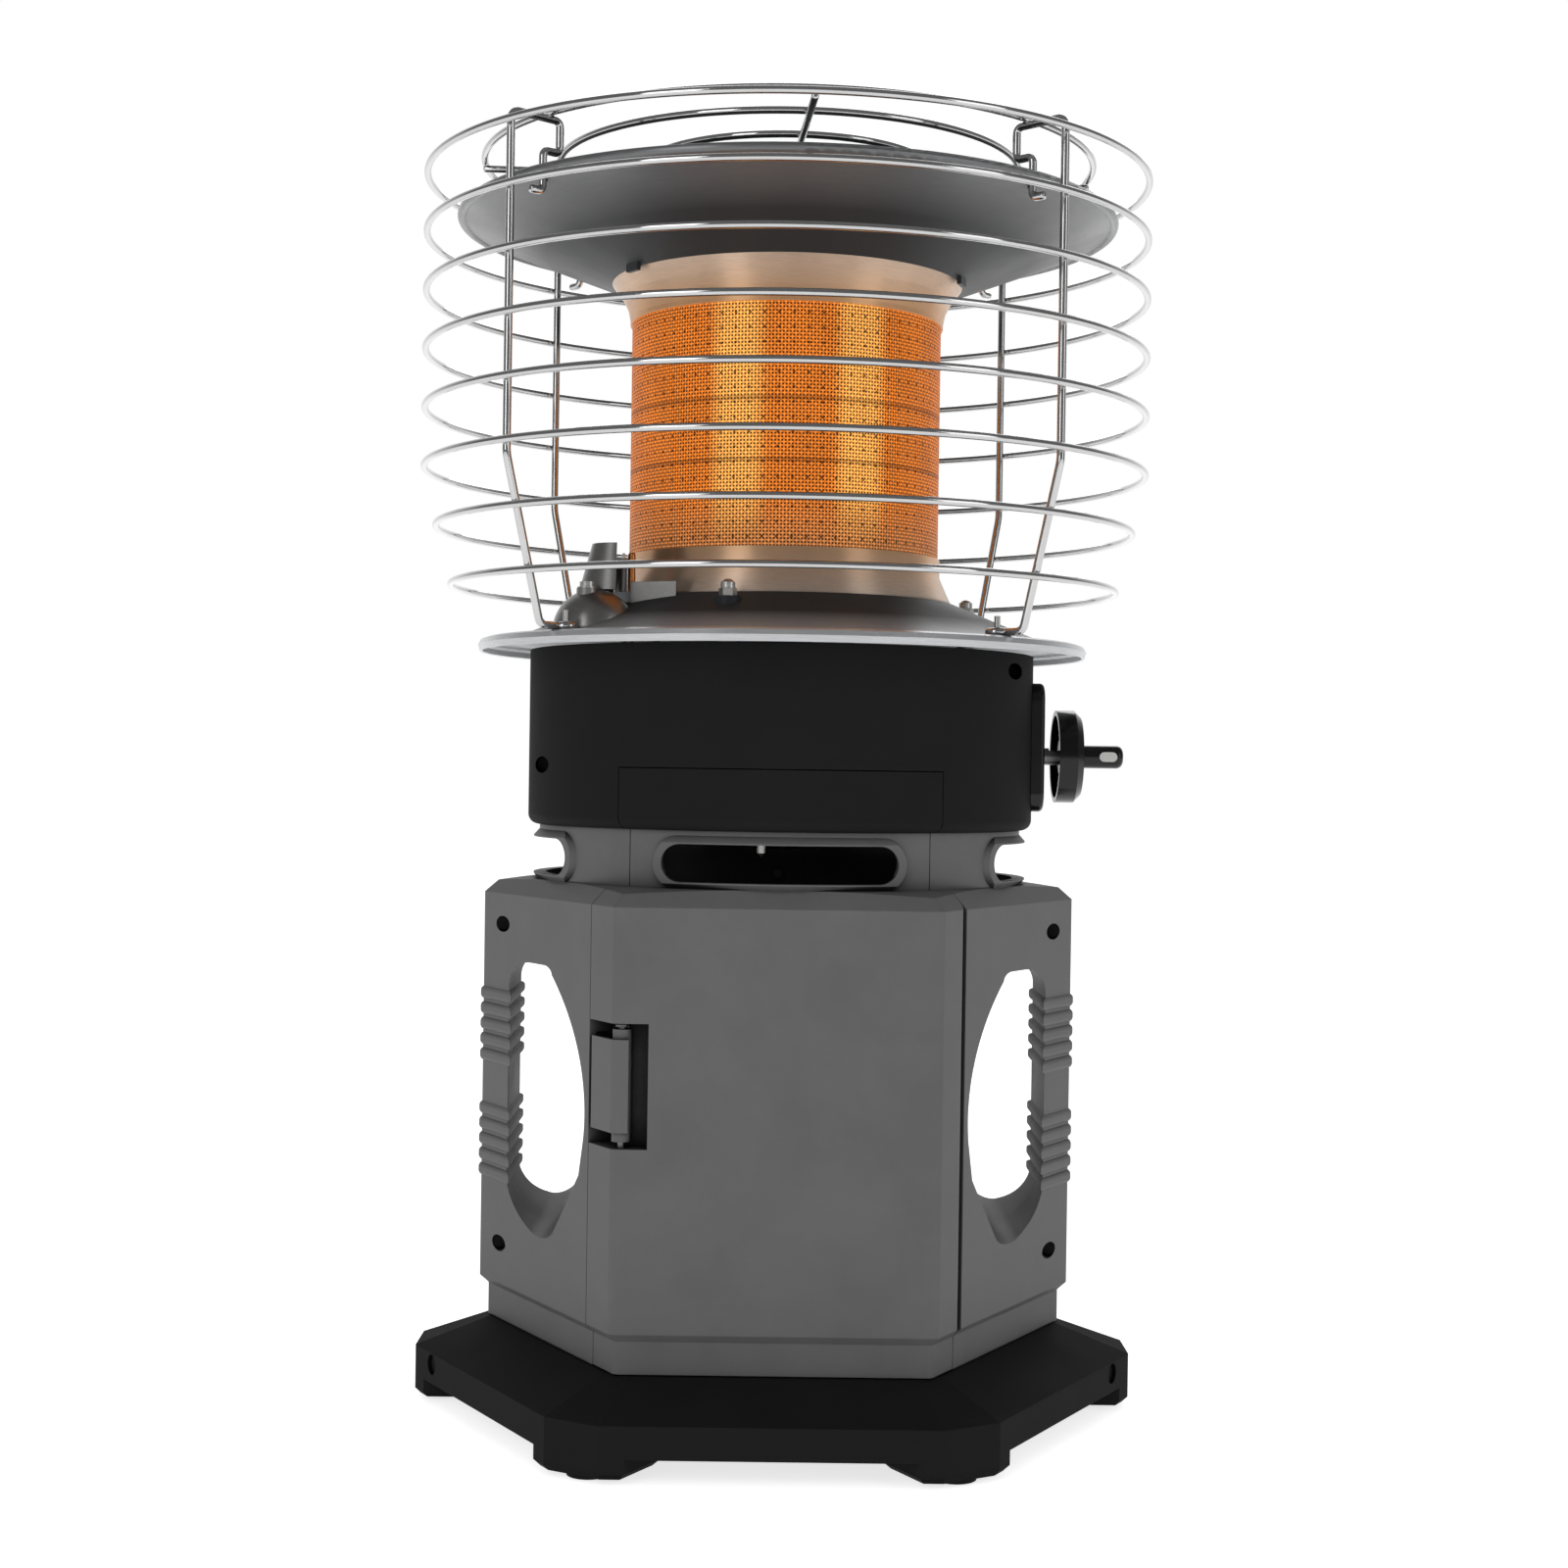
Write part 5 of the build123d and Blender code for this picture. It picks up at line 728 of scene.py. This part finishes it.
# %% Assign finishes
FINISHES = {
    housing_abs: ["body_front_left", "body_front_right", "body_rear", "door_panel", "latch"],
    drum_abs: ["base", "door_apron", "drum_front", "drum_rear", "tip_over_switch"],
    knob_phenolic: ["knob", "control_bezel", "piezo_igniter"],
    pointer_paint: ["knob_pointer"],
    pad_rubber: ["foot_pads", "inlet_seal"],
    dish_steel: ["burner_plate"],
    pilot_steel: ["pilot_cover", "pilot_hood", "pilot_strip", "pilot_burner"],
    reflector_steel: ["reflector"],
    collar_steel: ["upper_collar", "lower_collar"],
    tube_steel: ["emitter_tube", "burner_cap"],
    burner_weave: ["emitter_mesh"],
    galvanised: ["heat_shield", "valve_bracket", "venturi_tube", "pilot_bracket"],
    zinc_screw: ["bracket_screws", "plate_studs", "cap_nuts", "pilot_screw", "guard_screws"],
    black_oxide: ["base_screws", "body_screws", "drum_screws"],
    cast_alloy: ["regulator_body", "valve_body"],
    turned_brass: ["stem_gland", "push_plunger", "gas_jet"],
    dark_zinc: ["inlet_socket"],
    drawn_tube: ["pilot_tube"],
    copper_lead: ["thermocouple"],
    spring_steel: ["door_hinge_pins", "latch_pin", "latch_spring", "stem_spring", "valve_stem"],
    painted_shade_black_coat: ["neck_liner"],
    glazed_ceramic: ["electrode"],
    chrome_wire: [
        "guard_rings", "guard_ring_7", "guard_ring_8", "top_rings", "cross_wires", "guard_posts",
    ],
}
for finish, names in FINISHES.items():
    for name in names:
        slots = nodes[name].material_slots
        if not slots:
            nodes[name].data.materials.append(finish)
        for material_slot in slots:
            material_slot.material = finish
unfinished = sorted(set(nodes) - {name for names in FINISHES.values() for name in names})
print("nodes without a finish:", unfinished)

# %% [markdown]
# ## Floor, world and lamps
#
# The floor and the backdrop are white, and stay white where metal mirrors them, while the
# room in front of them is dark. The light is two large soft boxes in front, left and
# right, which draw the long pale streaks on chrome and spun steel, and one at the back.

# %% Stage
FLOOR_RADIUS = 9.0
FLOOR_DROP = 0.2 * MM
FLOOR_POINTS = 96
FLOOR_LIGHT = 0.74  # light of its own that keeps the floor white round the shadow


def floor_disc(material):
    """Round floor in one face, seen from above: (R cos u, R sin u, -drop)."""
    u = np.linspace(0, 2 * np.pi, FLOOR_POINTS, endpoint=False)
    rim = np.stack([FLOOR_RADIUS * np.cos(u), FLOOR_RADIUS * np.sin(u), 0 * u - FLOOR_DROP], -1)
    mesh = bpy.data.meshes.new("floor")
    mesh.from_pydata(rim.tolist(), [], [list(range(FLOOR_POINTS))])
    mesh.materials.append(material)
    disc = bpy.data.objects.new("floor", mesh)
    bpy.context.scene.collection.objects.link(disc)
    return disc


floor_paint = new_material("white_floor")
matt = add(floor_paint, "BsdfPrincipled", None, Base_Color=linear("#F4F4F4"), Roughness=0.9)
light = add(floor_paint, "Emission", None, Color=(1, 1, 1, 1), Strength=FLOOR_LIGHT)
both = add(floor_paint, "AddShader", None, i0=matt.outputs["BSDF"], i1=light.outputs["Emission"])
finish_material(floor_paint, both.outputs["Shader"])
floor_disc(floor_paint)

# %% World and lamps
ROOM_LEVEL = 0.5  # light of the room on dull surfaces
DARK_SIDE = 0.2  # what metal mirrors of the room in front of the white backdrop
BACKDROP_EDGE = (0.4, 0.85)  # from that to white, in the Y part of the direction
LAMP_TARGET = Vector((0, 0, 0.35))
SOFT_BOXES = {  # place in metres, width, height and power
    "key_box": ((-1.45, -2.1, 1.2), 0.8, 1.6, 12.0),
    "fill_box": ((2.1, -1.4, 1.0), 0.75, 1.5, 7.0),
    "back_box": ((0.3, 2.2, 1.8), 1.6, 1.0, 10.0),
}

world = bpy.data.worlds.new("white_room")
bpy.context.scene.world = world
world.use_nodes = True
world.node_tree.nodes.clear()
ray = add(world, "LightPath").outputs
direction = add(world, "SeparateXYZ", None, Vector=add(world, "TexCoord").outputs["Generated"])
mirrored = mapped_range(world, direction.outputs["Y"], *BACKDROP_EDGE, DARK_SIDE, 1.0)
# white where the lens looks straight at it, the room's level elsewhere, backdrop in a mirror
plain = calculate(world, "MAXIMUM", ray["Is Camera Ray"], ray["Is Transmission Ray"])
seen = calculate(world, "MULTIPLY_ADD", plain, 1 - ROOM_LEVEL, ROOM_LEVEL)
change = calculate(world, "SUBTRACT", mirrored, ROOM_LEVEL)
strength = calculate(world, "MULTIPLY_ADD", ray["Is Glossy Ray"], change, seen)
room = add(world, "Background", None, Color=(1, 1, 1, 1), Strength=strength)
add(world, "OutputWorld", None, Surface=room.outputs["Background"])


def soft_box(name, place, width, height, power):
    """Area lamp at a place, turned to the heater."""
    data = bpy.data.lights.new(name, "AREA")
    data.shape = "RECTANGLE"
    data.size = width
    data.size_y = height
    data.energy = power
    lamp = bpy.data.objects.new(name, data)
    lamp.location = place
    lamp.rotation_euler = (LAMP_TARGET - Vector(place)).to_track_quat("-Z", "Y").to_euler()
    bpy.context.scene.collection.objects.link(lamp)


for name, (place, width, height, power) in SOFT_BOXES.items():
    soft_box(name, place, width, height, power)
bpy.context.scene.view_settings.view_transform = "Standard"
print("lamps:", len(SOFT_BOXES))
